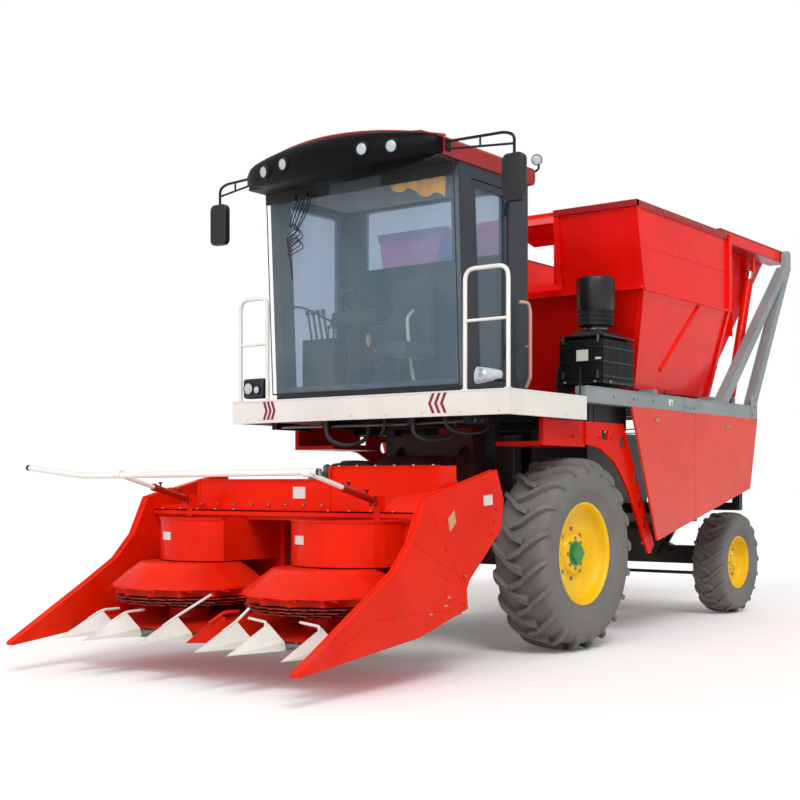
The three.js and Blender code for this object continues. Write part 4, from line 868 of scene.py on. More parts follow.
def makeHeaderTrim():
    look = trimLook
    red, bolts, labels = newShape(), newShape(), newShape()
    # rolled lip along the crossbeam and the ribs over the drum hoods
    addBox(red, (-look["inner"] - 2, look["lip"] - 26, 1040), (look["inner"] + 2, look["lip"] + 10, 1049))
    addBox(red, (-look["inner"] - 2, look["lip"] - 26, 1012), (look["inner"] + 2, look["lip"] - 20, 1049))
    for hand in (1, -1):
        ring = [(look["hood"] + 10, 988), (look["hood"] + 12, 996), (look["hood"] - 30, 998),
                (look["hood"] - 30, 988)]
        hoop = newShape()
        addTurned(hoop, [*ring, ring[0]], Vector((hand * 600, look["hoodY"], 0)), (0, 0, 1), 48)
        bmesh.ops.bisect_plane(hoop, geom=hoop.verts[:] + hoop.edges[:] + hoop.faces[:],
                               plane_co=(0, look["lip"] - 20, 0), plane_no=(0, 1, 0), clear_outer=True)
        bmesh.ops.holes_fill(hoop, edges=hoop.edges, sides=8)
        inner = hand * 300
        bmesh.ops.bisect_plane(hoop, geom=hoop.verts[:] + hoop.edges[:] + hoop.faces[:],
                               plane_co=(inner, 0, 0), plane_no=(-hand, 0, 0), clear_outer=True)
        bmesh.ops.holes_fill(hoop, edges=hoop.edges, sides=8)
        finishPiece(hoop, "hood_rim_" + sideName(hand), "headerRed", "header")
        outerRib = ((hand * 720, -2376, 996), (hand * 1150, -2040, 1004), (hand * 1150, -2040, 1010),
                    (hand * 720, -2376, 1002))
        addPlate(red, outerRib, (hand * 4, 5, 0))
        addBolts(bolts, (hand * 420, -2040, 1049), (hand * 1120, -2040, 1049), 5, (0, 0, 1), 9)
    # raised border and folded joints on the upper box
    front, top = look["boxFront"], look["boxTop"]
    addBox(red, (look["boxLeft"] - 3, front - 8, top - 6), (322, front + 30, top + 5))
    addBox(red, (look["boxLeft"] - 6, front - 6, 1044), (look["boxLeft"] + 16, front + 20, top + 4))
    addBox(red, (314, front - 8, 1044), (326, front + 4, look["coverTop"] + 2))
    addBox(red, (318, front + 12, look["coverTop"]), (look["inner"], front + 26, look["coverTop"] + 7))
    addBox(red, (318, -1712, look["coverTop"]), (look["inner"], -1698, look["coverTop"] + 7))
    addPlate(red, ((760, -2020, 1046), (1186, -2020, 1046), (1186, -1890, 1190), (900, -1890, 1160)),
             (0, 6, 5))
    addBox(red, (-1188, -1990, 1044), (-905, -1880, 1080))
    addBolts(bolts, (-860, front - 8, 1085), (260, front - 8, 1085), 8, (0, -1, 0), 8)
    addBolts(bolts, (380, front + 18, look["coverTop"] + 7), (1140, front + 18, look["coverTop"] + 7), 6,
             (0, 0, 1), 8)
    finishPiece(red, "header_folds", "headerRed", "header")
    finishPiece(bolts, "header_bolts", "zinc", "header")
    # plates with nothing on them
    addBox(labels, (-4, front - 2, 1128), (104, front, 1206))
    for centreTurn, hand in ((radians(253), -1), (radians(250), 1)):
        corners = []
        for step in range(6):
            turn = centreTurn + (step - 2.5) * radians(3.2)
            corners.append((hand * 600 + 401.5 * cos(turn), look["hoodY"] + 401.5 * sin(turn)))
        for first, second in zip(corners, corners[1:]):
            face = [(*first, 848), (*second, 848), (*second, 902), (*first, 902)]
            labels.faces.new([labels.verts.new(p) for p in face])
    bmesh.ops.remove_doubles(labels, verts=labels.verts, dist=0.5)
    shieldX = 1251.5
    addPlate(labels, ((shieldX, -1480, 1150), (shieldX, -1376, 1158), (shieldX, -1370, 1092),
                      (shieldX, -1474, 1084)), (-3, 0, 0))
    finishPiece(labels, "header_blank_plates", "label", "header")
    diamond = newShape()
    addPlate(diamond, ((shieldX, -1880, 1010), (shieldX, -1812, 1062), (shieldX, -1790, 985),
                       (shieldX, -1856, 930)), (-3, 0, 0))
    finishPiece(diamond, "header_blank_diamond", "tan", "header")


makeHeaderTrim()

# shields: pressed folds, rounded edges, bolts and scuffs
shieldLook = dict(
    outer=1250, rise=3,
    upper=((-1847, 1195), (-2112, 1129), (-2240, 871), (-2404, 704), (-2632, 568), (-3268, 206)),
    folds=(((-2112, 1129), (-1700, 560)), ((-2240, 871), (-1655, 600)),
           ((-1658, 445), (-2600, 440), (-3180, 215))),
    scuffs=((-1890, 520, 46, 12), (-1930, 470, 60, 9), (-1700, 640, 30, 14), (-2080, 430, 40, 10)),
)


def makeShieldDetail(side):
    look = shieldLook
    ridges, marks, bolts = newShape(), newShape(), newShape()
    x = side * look["outer"]
    for fold in look["folds"]:
        for first, second in zip(fold, fold[1:]):
            addRod(ridges, (x, *first), (x, *second), look["rise"], 8)
    for first, second in zip(look["upper"], look["upper"][1:]):
        addRod(ridges, (x - side * 7, *first), (x - side * 7, *second), 9, 10)
        addRod(ridges, (x - side * 53, *first), (x - side * 53, *second), 9, 10)
    for y, z, length, tall in look["scuffs"]:
        outline = [(x, y, z), (x, y + length * 0.4, z + tall), (x, y + length, z + tall * 0.3),
                   (x, y + length * 0.6, z - tall * 0.4)]
        addPlate(marks, outline, (side * 0.8, 0, 0))
    addBolts(bolts, (x, -1330, 1060), (x, -1380, 900), 3, (side, 0, 0), 9)
    addBolts(bolts, (x, -1700, 640), (x, -1700, 470), 2, (side, 0, 0), 9)
    addBolts(bolts, (x, -1900, 1000), (x, -1900, 640), 3, (side, 0, 0), 9)
    name = sideName(side)
    finishPiece(ridges, "shield_edges_" + name, "headerRed", "header")
    finishPiece(bolts, "shield_bolts_" + name, "headerRed", "header")
    finishPiece(marks, "shield_scuffs_" + name, "tan", "header")


makeShieldDetail(1)
makeShieldDetail(-1)
print("header is made")

# cab: roof visor, work lamps, glass seals, wiper parts and what is behind the glass
cabLook = dict(
    half=860, front=-1165, lean=75, rear=-290, floor=1860, top=3420,
    visorLamps=((-585, -1560, 3474), (-364, -1602, 3490), (349, -1602, 3490), (571, -1564, 3484)),
    lampRadius=42,
    sideLamp=(905, -228, 3610),
)


def addLamp(housing, lens, place, aim, radius, depth=34):
    place, aim = Vector(place), Vector(aim).normalized()
    addTurned(housing, [(0, -depth), (radius * 0.7, -depth), (radius * 1.02, -depth * 0.2),
                        (radius * 1.08, 8), (radius * 0.96, 10), (radius * 0.94, 0), (0, 0)], place, aim, 24)
    addTurned(lens, [(0, 1), (radius * 0.93, 1), (radius * 0.9, 6), (radius * 0.5, 11), (0, 13)], place, aim,
              24)
    for index in range(5):
        turn = tau * index / 5
        across = facing(aim) @ Vector((cos(turn), sin(turn), 0)) * radius * 0.45
        addRod(lens, place + across + aim * 6, place + across + aim * 12, radius * 0.16, 8)


def makeRoofTrim():
    look = cabLook
    housing, lens, frames = newShape(), newShape(), newShape()
    for place in look["visorLamps"]:
        x, y, z = place
        addLamp(housing, lens, (x, y, z), (x * 0.00035, -1, -0.12), look["lampRadius"])
        addTurned(frames, [(look["lampRadius"] + 2, 2), (look["lampRadius"] + 7, 5),
                           (look["lampRadius"] + 10, -3), (look["lampRadius"] + 10, -30),
                           (look["lampRadius"] + 2, -30), (look["lampRadius"] + 2, 2)], (x, y, z),
                  (x * 0.00035, -1, -0.12), 28)
    sideX, sideY, sideZ = look["sideLamp"]
    addLamp(housing, lens, (sideX - 8, sideY + 4, sideZ - 4), (0.5, -0.86, -0.1), 38, 46)
    addPipe(frames, ((sideX - 60, sideY + 30, 3520), (sideX - 10, sideY + 34, 3545),
                     (sideX - 14, sideY + 40, 3590)), 9, 8, 20)
    finishPiece(housing, "work_lamp_housings", "plastic", "chassis")
    finishPiece(lens, "work_lamp_lenses", "lampGlass", "chassis")
    finishPiece(frames, "work_lamp_bezels", "plastic", "chassis")


makeRoofTrim()

visorLook = dict(half=878, front=-1628, endFront=-1452, back=-1401, bottom=3348, top=3638, drop=88, lift=72,
                 columns=28, rows=9, tuck=0.34)


def makeVisor():
    # a rounded bar with a bowed front, fuller in the middle and thinner at its ends
    look = visorLook
    shape = newShape()
    rings = []
    for index in range(look["columns"] + 1):
        t = index / look["columns"] * 2 - 1
        ends = max(0.0, (abs(t) - 0.86) / 0.14)
        x = look["half"] * t
        high = look["top"] - look["drop"] * t * t - 20 * ends ** 2
        low = look["bottom"] + look["lift"] * t * t + 12 * ends ** 2
        nose = look["endFront"] + (look["front"] - look["endFront"]) * (1 - t * t) + 36 * ends ** 2
        ring = []
        for row in range(look["rows"] + 1):
            angle = pi * row / look["rows"]
            z = (high + low) / 2 + (high - low) / 2 * cos(angle)
            bow = abs(sin(angle)) ** look["tuck"]
            ring.append(shape.verts.new((x, look["back"] + (nose - look["back"]) * bow, z)))
        rings.append(ring)
    for first, second in zip(rings, rings[1:]):
        for a in range(look["rows"]):
            shape.faces.new((first[a], first[a + 1], second[a + 1], second[a]))
        shape.faces.new((first[-1], first[0], second[0], second[-1]))
    shape.faces.new(rings[0])
    shape.faces.new(list(reversed(rings[-1])))
    made = finishPiece(shape, "roof_visor", "visor", "chassis", smooth=60)
    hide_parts("cab_visor")
    rim = newShape()
    path = []
    for index in range(25):
        t = index / 24 * 2 - 1
        x = look["half"] * 0.985 * t
        path.append((x, look["endFront"] + (look["front"] - look["endFront"]) * (1 - t * t) + 96,
                     look["top"] - look["drop"] * t * t - 2))
    addPipe(rim, path, 16, 10, 1)
    finishPiece(rim, "roof_front_edge", "roofRed", "chassis")


makeVisor()


def cabFront(z):
    # the front glass plane leans forward towards the roof
    return cabLook["front"] - cabLook["lean"] * (z - cabLook["floor"]) / (cabLook["top"] - cabLook["floor"])


def makeGlassTrim():
    look = cabLook
    seals, cables, fittings = newShape(), newShape(), newShape()
    addPlate(seals, ((-look["half"] + 2, cabFront(3318) - 5, 3318),
                     (look["half"] - 2, cabFront(3318) - 5, 3318),
                     (look["half"] - 2, cabFront(3418) - 5, 3418),
                     (-look["half"] + 2, cabFront(3418) - 5, 3418)), (0, 4, 0))
    addBox(seals, (-look["half"], -1424, 3398), (look["half"], cabFront(3400) + 2, 3419))
    for x in (-look["half"] + 8, look["half"] - 8):
        addRod(seals, (x, cabFront(1905) - 2, 1905), (x, cabFront(3380) - 2, 3380), 4, 6)
    addRod(seals, (-look["half"] + 8, cabFront(1902) - 2, 1902), (look["half"] - 8, cabFront(1902) - 2, 1902),
           6, 6)
    for offset, sag in ((0, 0), (34, 12), (68, 26), (-30, -10), (96, 30)):
        start = (-470 + offset, cabFront(3340) - 26, 3350)
        addPipe(cables, (start, (-540 + offset, cabFront(3230) - 24, 3240 - sag),
                         (-600 + offset * 0.6, cabFront(3100) - 22, 3120 - sag)), 5, 6, 60)
    for index in range(6):
        lift = 3120 - index * 26
        out = 40 + (index % 3) * 26
        addPipe(cables, ((-600, cabFront(lift) - 20, lift), (-600 + out, cabFront(lift) - 28, lift + 34),
                         (-570 + out, cabFront(lift) - 24, lift - 30),
                         (-640, cabFront(lift) - 20, lift - 74)), 4, 6, 30)
    addPipe(cables, ((-645, cabFront(3060) - 20, 3060), (-618, cabFront(2900) - 22, 2900),
                     (-606, cabFront(2760) - 14, 2740)), 6, 6, 60)
    addBox(fittings, (-660, cabFront(3340) - 44, 3322), (-420, cabFront(3340) - 8, 3352))
    addRod(fittings, (-540, cabFront(3330) - 60, 3330), (-540, cabFront(3330) - 20, 3330), 22, 16)
    finishPiece(seals, "windscreen_seals", "rubberHose", "chassis")
    finishPiece(cables, "wiper_cables", "rubberHose", "chassis")
    finishPiece(fittings, "wiper_motor", "plastic", "chassis")


makeGlassTrim()


def makeCabInside():
    look = cabLook
    cloth, handle, controls, trim, yellow = newShape(), newShape(), newShape(), newShape(), newShape()
    # folded sun curtain hanging under the roof at the left
    rows = []
    columns = 15
    for step, (z, reach) in enumerate(((3372, 1.0), (3312, 0.98), (3252, 0.9), (3196, 0.72))):
        row = []
        for index in range(columns):
            x = 250 + 470 * index / (columns - 1)
            wave = 16 * sin(index * 1.9 + step * 0.5)
            drop = max(0.0, 1 - index / (columns - 1)) * 120 * step / 3
            row.append(cloth.verts.new((x, look["front"] + 12 + wave,
                                        z + drop - 22 * sin(index * 0.9) * step / 3)))
        rows.append(row)
    for first, second in zip(rows, rows[1:]):
        for a, b, c, d in zip(first, first[1:], second[1:], second):
            cloth.faces.new((a, b, c, d))
    bmesh.ops.subdivide_edges(cloth, edges=cloth.edges, cuts=2, use_grid_fill=True, smooth=1.0)
    bmesh.ops.solidify(cloth, geom=cloth.faces[:], thickness=3)
    curtain = finishPiece(cloth, "sun_curtain", "sunshade", "chassis", smooth=60)
    lining = newShape()
    addBox(lining, (-look["half"] + 70, -1225, 3398), (look["half"] - 70, -360, 3412))
    softenEdges(lining, 5, 2)
    finishPiece(lining, "roof_lining", "lining", "chassis")
    addPipe(handle, ((30, -560, 1965), (10, -600, 2200), (-10, -600, 2480), (-10, -520, 2540)), 14, 12, 60)
    finishPiece(handle, "cab_hand_pipe", "railWhite", "chassis")
    for index in range(4):
        x = -620 + index * 48
        addPipe(controls, ((x, -760, 2130), (x - 4, -790, 2300), (x - 8, -780, 2420)), 5, 8, 30)
        bmesh.ops.create_uvsphere(controls, u_segments=12, v_segments=8, radius=15,
                                  matrix=Matrix.Translation((x - 8, -780, 2430)))
    finishPiece(controls, "control_levers", "plastic", "chassis")
    addPipe(trim, ((-700, -1100, 2560), (-620, -1080, 2550), (-420, -900, 2420), (-330, -800, 2260)), 9, 8,
            60)
    addPipe(trim, ((-360, -860, 2200), (-300, -840, 2420), (-220, -860, 2500)), 8, 8, 60)
    finishPiece(trim, "cab_inside_pipes", "plastic", "chassis")
    place = Matrix.Translation((-150, -905, 2290)) @ Matrix.Diagonal((0.9, 0.9, 1.5, 1))
    bmesh.ops.create_uvsphere(yellow, u_segments=16, v_segments=10, radius=34, matrix=place)
    finishPiece(yellow, "gauge_cover", "tan", "chassis")


makeCabInside()

# platform edge: stripes, lamps, grab handles
platformLook = dict(front=-1180, half=1260, bottom=1690, top=1860)


def makePlatformTrim():
    look = platformLook
    stripes, lamp, lampRim, grab, pins, strips = (newShape() for _ in range(6))
    for centreX, way, reach in ((-905, 1, 32), (705, -1, 40)):
        for index in range(3):
            x = centreX + (index - 1) * reach * 1.25
            point = x + way * reach * 0.8
            for base, tip in ((1712, 1780), (1850, 1780)):
                addPlate(stripes, ((x, look["front"] - 1, base), (x + way * 24, look["front"] - 1, base),
                                   (point + way * 24, look["front"] - 1, tip),
                                   (point, look["front"] - 1, tip)), (0, 0.9, 0))
    finishPiece(stripes, "platform_stripes", "stripe", "chassis")
    # teardrop headlamp seen through the left handrail
    shares = (0.0, 0.15, 0.4, 0.7, 1.0)
    for share, following in zip(shares, shares[1:]):
        left, right = 985 + 200 * share, 985 + 200 * following
        addRod(lamp, (left, -1164, 1958), (right, -1164, 1955), 58 - 34 * share ** 1.4, 16,
               58 - 34 * following ** 1.4)
    for vert in lamp.verts:
        vert.co.y = -1150 + (vert.co.y + 1150) * 0.55
    made = finishPiece(lamp, "left_headlamp_shell", "lampGlass", "chassis")
    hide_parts("headlamp_left")
    addLamp(lampRim, lampRim, (1036, -1176, 1958), (0, -1, 0.05), 40, 20)
    finishPiece(lampRim, "left_headlamp_bowl", "chrome", "chassis")
    rightLamp, rightLens = newShape(), newShape()
    addBox(rightLamp, (-1166, -1172, 1882), (-954, -1080, 2034))
    softenEdges(rightLamp, 22, 3)
    addLamp(rightLamp, rightLens, (-1095, -1178, 1956), (0, -1, 0), 46, 12)
    addLamp(rightLamp, rightLens, (-1010, -1178, 1944), (0, -1, 0), 30, 12)
    made = finishPiece(rightLamp, "right_headlamp_shell", "plastic", "chassis")
    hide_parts("headlamp_right")
    finishPiece(rightLens, "right_headlamp_glass", "lampGlass", "chassis")
    addPipe(grab, ((896, -470, 2536), (930, -400, 2536), (930, -372, 2480), (930, -372, 1990),
                   (896, -372, 1925)), 13, 12, 50)
    addPipe(grab, ((896, -372, 2220), (936, -372, 2226)), 9, 8)
    finishPiece(grab, "cab_grab_handle", "pink", "chassis")
    for y in (-160, 560, 1240):
        addRod(pins, (1222, y, 1800), (1222, y, 2060 if y == -160 else 1985), 6, 8)
        addRod(pins, (1222, y, 1940), (1222, y, 1956), 14, 10)
    finishPiece(pins, "beam_pins", "black", "chassis")
    # folded lower edge, joints and bolts of the skirt
    addBox(strips, (-1262, -1183, 1852), (1262, -1176, 1862))
    addBox(strips, (1254, -1180, 1852), (1262, -132, 1862))
    addBox(strips, (-1262, -1180, 1852), (-1254, -132, 1862))
    addBolts(strips, (-1100, -1180, 1722), (-980, -1180, 1722), 2, (0, -1, 0), 7)
    addBolts(strips, (1260, -1100, 1722), (1260, -220, 1722), 5, (1, 0, 0), 7)
    addBolts(strips, (-1260, -1100, 1722), (-1260, -220, 1722), 5, (-1, 0, 0), 7)
    addBolts(strips, (-400, -1180, 1722), (1180, -1180, 1722), 6, (0, -1, 0), 7)
    finishPiece(strips, "skirt_edges", "white", "chassis")


makePlatformTrim()
print("cab is fitted")

# driver's seat: a stitched cushion and backrest on a box
seatLook = dict(x=-110, wall=-350, half=240, backHalf=220, narrowing=0.85, lean=40, cushionNear=-830,
                cushionFar=-420, cushionLow=2172, cushionHigh=2288, backNear=120, backFar=50, backLow=2272,
                backHigh=2798, cuts=15, corner=34, puff=9, channel=7, channelAt=0.56, channelWidth=0.07,
                hinge=((205, -455, 2215), (214, -452, 2330), (200, -440, 2420)))


def padShape(half, deep, tall):
    # a box of foam under a tight cover: rounded edges, a full middle and two stitched channels
    look = seatLook
    shape = newShape()
    bmesh.ops.create_cube(shape, size=2)
    bmesh.ops.subdivide_edges(shape, edges=shape.edges, cuts=look["cuts"], use_grid_fill=True)
    size = Vector((half, deep, tall))
    corner = min(look["corner"], *(side * 0.48 for side in size))
    for vert in shape.verts:
        across, along, up = vert.co
        place = Vector([part * side for part, side in zip(vert.co, size)])
        inner = Vector([max(-side + corner, min(side - corner, part)) for part, side in zip(place, size)])
        outward = place - inner
        if outward.length > 0:
            place = inner + outward.normalized() * corner
        flatness = (1 - across ** 2) * (1 - (along if tall < deep else up) ** 2)
        channels = [(across - side * look["channelAt"]) / look["channelWidth"] for side in (-1, 1)]
        stitch = max(exp(-reach ** 2) for reach in channels)
        sunk = look["puff"] * (1 - flatness) + look["channel"] * stitch
        if tall < deep:
            place.z -= sunk if up > 0.999 else 0
        else:
            place.y += sunk if along < -0.999 else 0
        vert.co = place
    return shape


def makeSeat():
    look = seatLook
    base, cover = newShape(), newShape()
    addBox(base, (look["x"] - 120, look["wall"] - 370, 1893.3), (look["x"] + 120, look["wall"] - 130, 2140))
    softenEdges(base, 8, 2)
    addRod(base, (look["x"], look["wall"] - 250, 2130), (look["x"], look["wall"] - 250, 2176), 95, 24)
    for side in (1, -1):
        addPipe(cover, [(look["x"] + side * out, y, z) for out, y, z in look["hinge"]], 9, 8, 40)
    made = finishPiece(base, "seat_base", "plastic", "chassis", smooth=40)
    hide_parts("driver_seat")
    finishPiece(cover, "seat_hinges", "plastic", "chassis")
    near, far = look["cushionNear"], look["cushionFar"]
    low, high = look["cushionLow"], look["cushionHigh"]
    cushion = padShape(look["half"], (far - near) / 2, (high - low) / 2)
    bmesh.ops.translate(cushion, verts=cushion.verts, vec=(look["x"], (near + far) / 2, (low + high) / 2))
    finishPiece(cushion, "seat_cushion", "seat", "chassis", smooth=60)
    near, far = look["wall"] - look["backNear"], look["wall"] - look["backFar"]
    low, high = look["backLow"], look["backHigh"]
    backrest = padShape(look["backHalf"], (far - near) / 2, (high - low) / 2)
    for vert in backrest.verts:
        share = vert.co.z / (high - low) + 0.5
        vert.co.x *= 1 - (1 - look["narrowing"]) * share
        vert.co.y += look["lean"] * share
    bmesh.ops.translate(backrest, verts=backrest.verts, vec=(look["x"], (near + far) / 2, (low + high) / 2))
    finishPiece(backrest, "seat_backrest", "seat", "chassis", smooth=60)


makeSeat()

# mirrors and handrails
mirrorLook = dict(y=-1330, top=3360, bottom=3050, half=82, depth=27, armY=-1368, roofHalf=890,
                  heads=(("left", 1390), ("right", -1250)))


def makeMirrors():
    look = mirrorLook
    for name, x in look["heads"]:
        side = 1 if x > 0 else -1
        head, pane, arms = newShape(), newShape(), newShape()
        addBox(head, (-look["half"], -look["depth"], look["bottom"] - look["top"]),
               (look["half"], look["depth"], 0))
        # the four edges that run front to back are the corners of the mirror's face
        cornerEdges = [e for e in head.edges if (e.verts[0].co - e.verts[1].co).xz.length < 1]
        bmesh.ops.bevel(head, geom=cornerEdges, offset=44, segments=5, profile=0.5, affect="EDGES",
                        material=-1)
        softenEdges(head, 8, 3, 40)
        addBox(pane, (-look["half"] + 14, look["depth"], look["bottom"] - look["top"] + 22),
               (look["half"] - 14, look["depth"] + 3, -22))
        softenEdges(pane, 2, 2, 40)
        turn = Matrix.Translation((x, look["y"], look["top"]))
        for shape in (head, pane):
            bmesh.ops.transform(shape, matrix=turn, verts=shape.verts)
        root = side * look["roofHalf"]
        addSorted(arms, (root, -1396, 3440), (root + side * 12, -1340, 3520))
        addPipe(arms, ((root + side * 8, look["armY"], 3505), (x - side * 70, look["y"], 3508),
                       (x, look["y"], 3480), (x, look["y"], look["top"] - 12)), 10, 10, 70)
        addPipe(arms, ((root + side * 8, look["armY"], 3455), (x - side * 8, look["y"], 3424)), 8, 8)
        middle = (root + x) / 2
        addRod(arms, (middle, -1350, 3438), (middle, -1350, 3507), 7, 8)
        addBolts(arms, (root + side * 12, -1368, 3455), (root + side * 12, -1368, 3505), 2, (side, 0, 0), 9)
        made = finishPiece(head, "mirror_head_" + name, "plastic", "chassis", smooth=50)
        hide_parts("mirror_" + name)
        finishPiece(arms, "mirror_arm_" + name, "black", "chassis")
        finishPiece(pane, "mirror_glass_" + name, "chrome", "chassis")


makeMirrors()

railLook = dict(y=-1161, foot=1860.3, radius=15, bend=80)


def makeHandrail(name, x0, x1, top, middle):
    look = railLook
    shape = newShape()
    addPipe(shape, ((x0, look["y"], look["foot"]), (x0, look["y"], top), (x1, look["y"], top),
                    (x1, look["y"], look["foot"])), look["radius"], 14, look["bend"])
    addRod(shape, (x0, look["y"], middle), (x1, look["y"], middle), 11, 12)
    for x in (x0, x1):
        addBox(shape, (x - 19, look["y"] - 19, look["foot"]), (x + 19, look["y"] + 19, look["foot"] + 8))
        addBolt(shape, (x, look["y"] - 14, look["foot"] + 8), (0, 0, 1), 5)
    made = finishPiece(shape, "handrail_pipe_" + name, "railWhite", "chassis", smooth=50)
    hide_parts("handrail_" + name)


makeHandrail("left", 893, 1238, 2680, 2330)
makeHandrail("right", -1195, -915, 2640, 2290)
print("mirrors and rails are made")

# engine air cleaner beside the cab
cleanerLook = dict(
    low=(775, 312, 1986), high=(1156, 818, 2392), finGap=19, bands=(2040, 2150, 2260, 2350),
    stack=(980, 520), drum=150, mesh=142, neck=78, neckLow=2392, meshLow=2450, meshHigh=2560, top=2828,
)


def makeAirCleaner():
    look = cleanerLook
    (x0, y0, z0), (x1, y1, z1) = look["low"], look["high"]
    case = newShape()
    addBox(case, (x0 + 14, y0 + 14, z0), (x1 - 14, y1 - 14, z1 - 60))
    roof = addBox(case, (x0 + 20, y0 + 20, z1 - 62), (x1 - 20, y1 - 20, z1 + 24))
    for vert in roof:
        if vert.co.z > z1:
            vert.co.x = look["stack"][0] + (vert.co.x - look["stack"][0]) * 0.62
            vert.co.y = look["stack"][1] + (vert.co.y - look["stack"][1]) * 0.62
    softenEdges(case, 12, 2)
    made = finishPiece(case, "air_cleaner_case", "plastic", "chassis")
    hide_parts("air_filter_housing")
    fins = newShape()
    x = x0 + 12
    while x < x1 - 12:
        addBox(fins, (x, y0, z0 + 24), (x + 8, y0 + 20, z1 - 66))
        x += look["finGap"]
    y = y0 + 12
    while y < y1 - 12:
        addBox(fins, (x1 - 20, y, z0 + 24), (x1, y + 8, z1 - 66))
        addBox(fins, (x0, y, z0 + 24), (x0 + 20, y + 8, z1 - 66))
        y += look["finGap"]
    for band in look["bands"]:
        addBox(fins, (x0 - 4, y0 - 4, band), (x1 + 4, y1 + 4, band + 12))
    addBox(fins, (x0 - 6, y0 - 6, z0 + 4), (x1 + 6, y1 + 6, z0 + 26))
    finishPiece(fins, "air_cleaner_fins", "plastic", "chassis")
    stack, mesh, rings = newShape(), newShape(), newShape()
    centre = Vector((*look["stack"], 0))
    addTurned(stack, [(0, look["top"]), (look["drum"] - 26, look["top"]),
                      (look["drum"] - 6, look["top"] - 10), (look["drum"], look["top"] - 30),
                      (look["drum"] - 3, look["meshHigh"] + 20), (look["drum"] - 12, look["meshHigh"] + 6),
                      (0, look["meshHigh"] + 6)], centre, (0, 0, 1), 48)
    addTurned(stack, [(0, look["meshHigh"] + 8), (look["mesh"] - 14, look["meshHigh"] + 8),
                      (look["mesh"] - 14, look["meshLow"]), (look["neck"] + 14, look["meshLow"] - 12),
                      (look["neck"], look["neckLow"] - 20), (0, look["neckLow"] - 20)], centre, (0, 0, 1), 40)
    for index in range(44):
        turn = tau * index / 44
        out = look["mesh"] - 6
        addRod(mesh, centre + Vector((out * cos(turn), out * sin(turn), look["meshLow"])),
               centre + Vector((out * cos(turn), out * sin(turn), look["meshHigh"] + 8)), 4, 5)
    for level in (look["meshLow"], look["meshLow"] + 36, look["meshLow"] + 74, look["meshHigh"]):
        addTurned(mesh, [(look["mesh"] - 10, level), (look["mesh"], level), (look["mesh"], level + 6),
                         (look["mesh"] - 10, level + 6), (look["mesh"] - 10, level)], centre, (0, 0, 1), 40)
    for radius, level in ((look["neck"] + 16, look["neckLow"] + 26),
                          (look["neck"] + 12, look["neckLow"] + 6)):
        addTurned(rings, [(radius - 14, level), (radius, level), (radius, level + 10),
                          (radius - 14, level + 10), (radius - 14, level)], centre, (0, 0, 1), 36)
    made = finishPiece(stack, "precleaner_stack", "plastic", "chassis", smooth=40)
    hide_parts("air_precleaner")
    finishPiece(mesh, "precleaner_screen", "plastic", "chassis")
    finishPiece(rings, "precleaner_clamps", "steel", "chassis")
    elbow, plates, clips = newShape(), newShape(), newShape()
    addPipe(elbow, ((x0 + 6, 560, 2140), (x0 - 70, 560, 2140), (x0 - 90, 560, 2090), (x0 - 90, 560, 1955)),
            72, 20, 110)
    for level in (2090, 1990):
        addTurned(elbow, [(72, level), (78, level), (78, level + 16), (72, level + 16), (72, level)],
                  Vector((x0 - 90, 560, 0)), (0, 0, 1), 28)
    finishPiece(elbow, "air_cleaner_elbow", "rubberHose", "chassis", smooth=50)
    addBox(plates, (930, y0 - 7, 2165), (1030, y0 - 1, 2250))
    addBox(plates, (1092, y0 - 7, 2172), (1140, y0 - 1, 2188))
    finishPiece(plates, "air_cleaner_blank_label", "label", "chassis")
    for spot in ((x0 + 40, y0 - 8, 2330), (x1 - 40, y0 - 8, 2330), (x0 + 40, y0 - 8, 2060),
                 (x1 - 40, y0 - 8, 2060)):
        addBox(clips, (spot[0] - 8, spot[1] - 6, spot[2] - 30), (spot[0] + 8, spot[1] + 6, spot[2] + 30))
    for spot in ((x1 - 60, y0 - 16, z0 + 14), (x0 + 60, y0 - 16, z0 + 14), (x1 + 14, y0 + 90, z0 + 14)):
        addBolt(clips, spot, (0, 0, 1), 12)
    finishPiece(clips, "air_cleaner_clips", "steel", "chassis")


makeAirCleaner()

# crop bin: lips, flanges and ribs
binLook = dict(
    half=1250, front=670, frontKnee=810, rear=2460, top=3420, knee=2750, bottom=1990, bottomFront=1060,
    bottomHalf=1040, tailHalf=990, mouth=520,
)


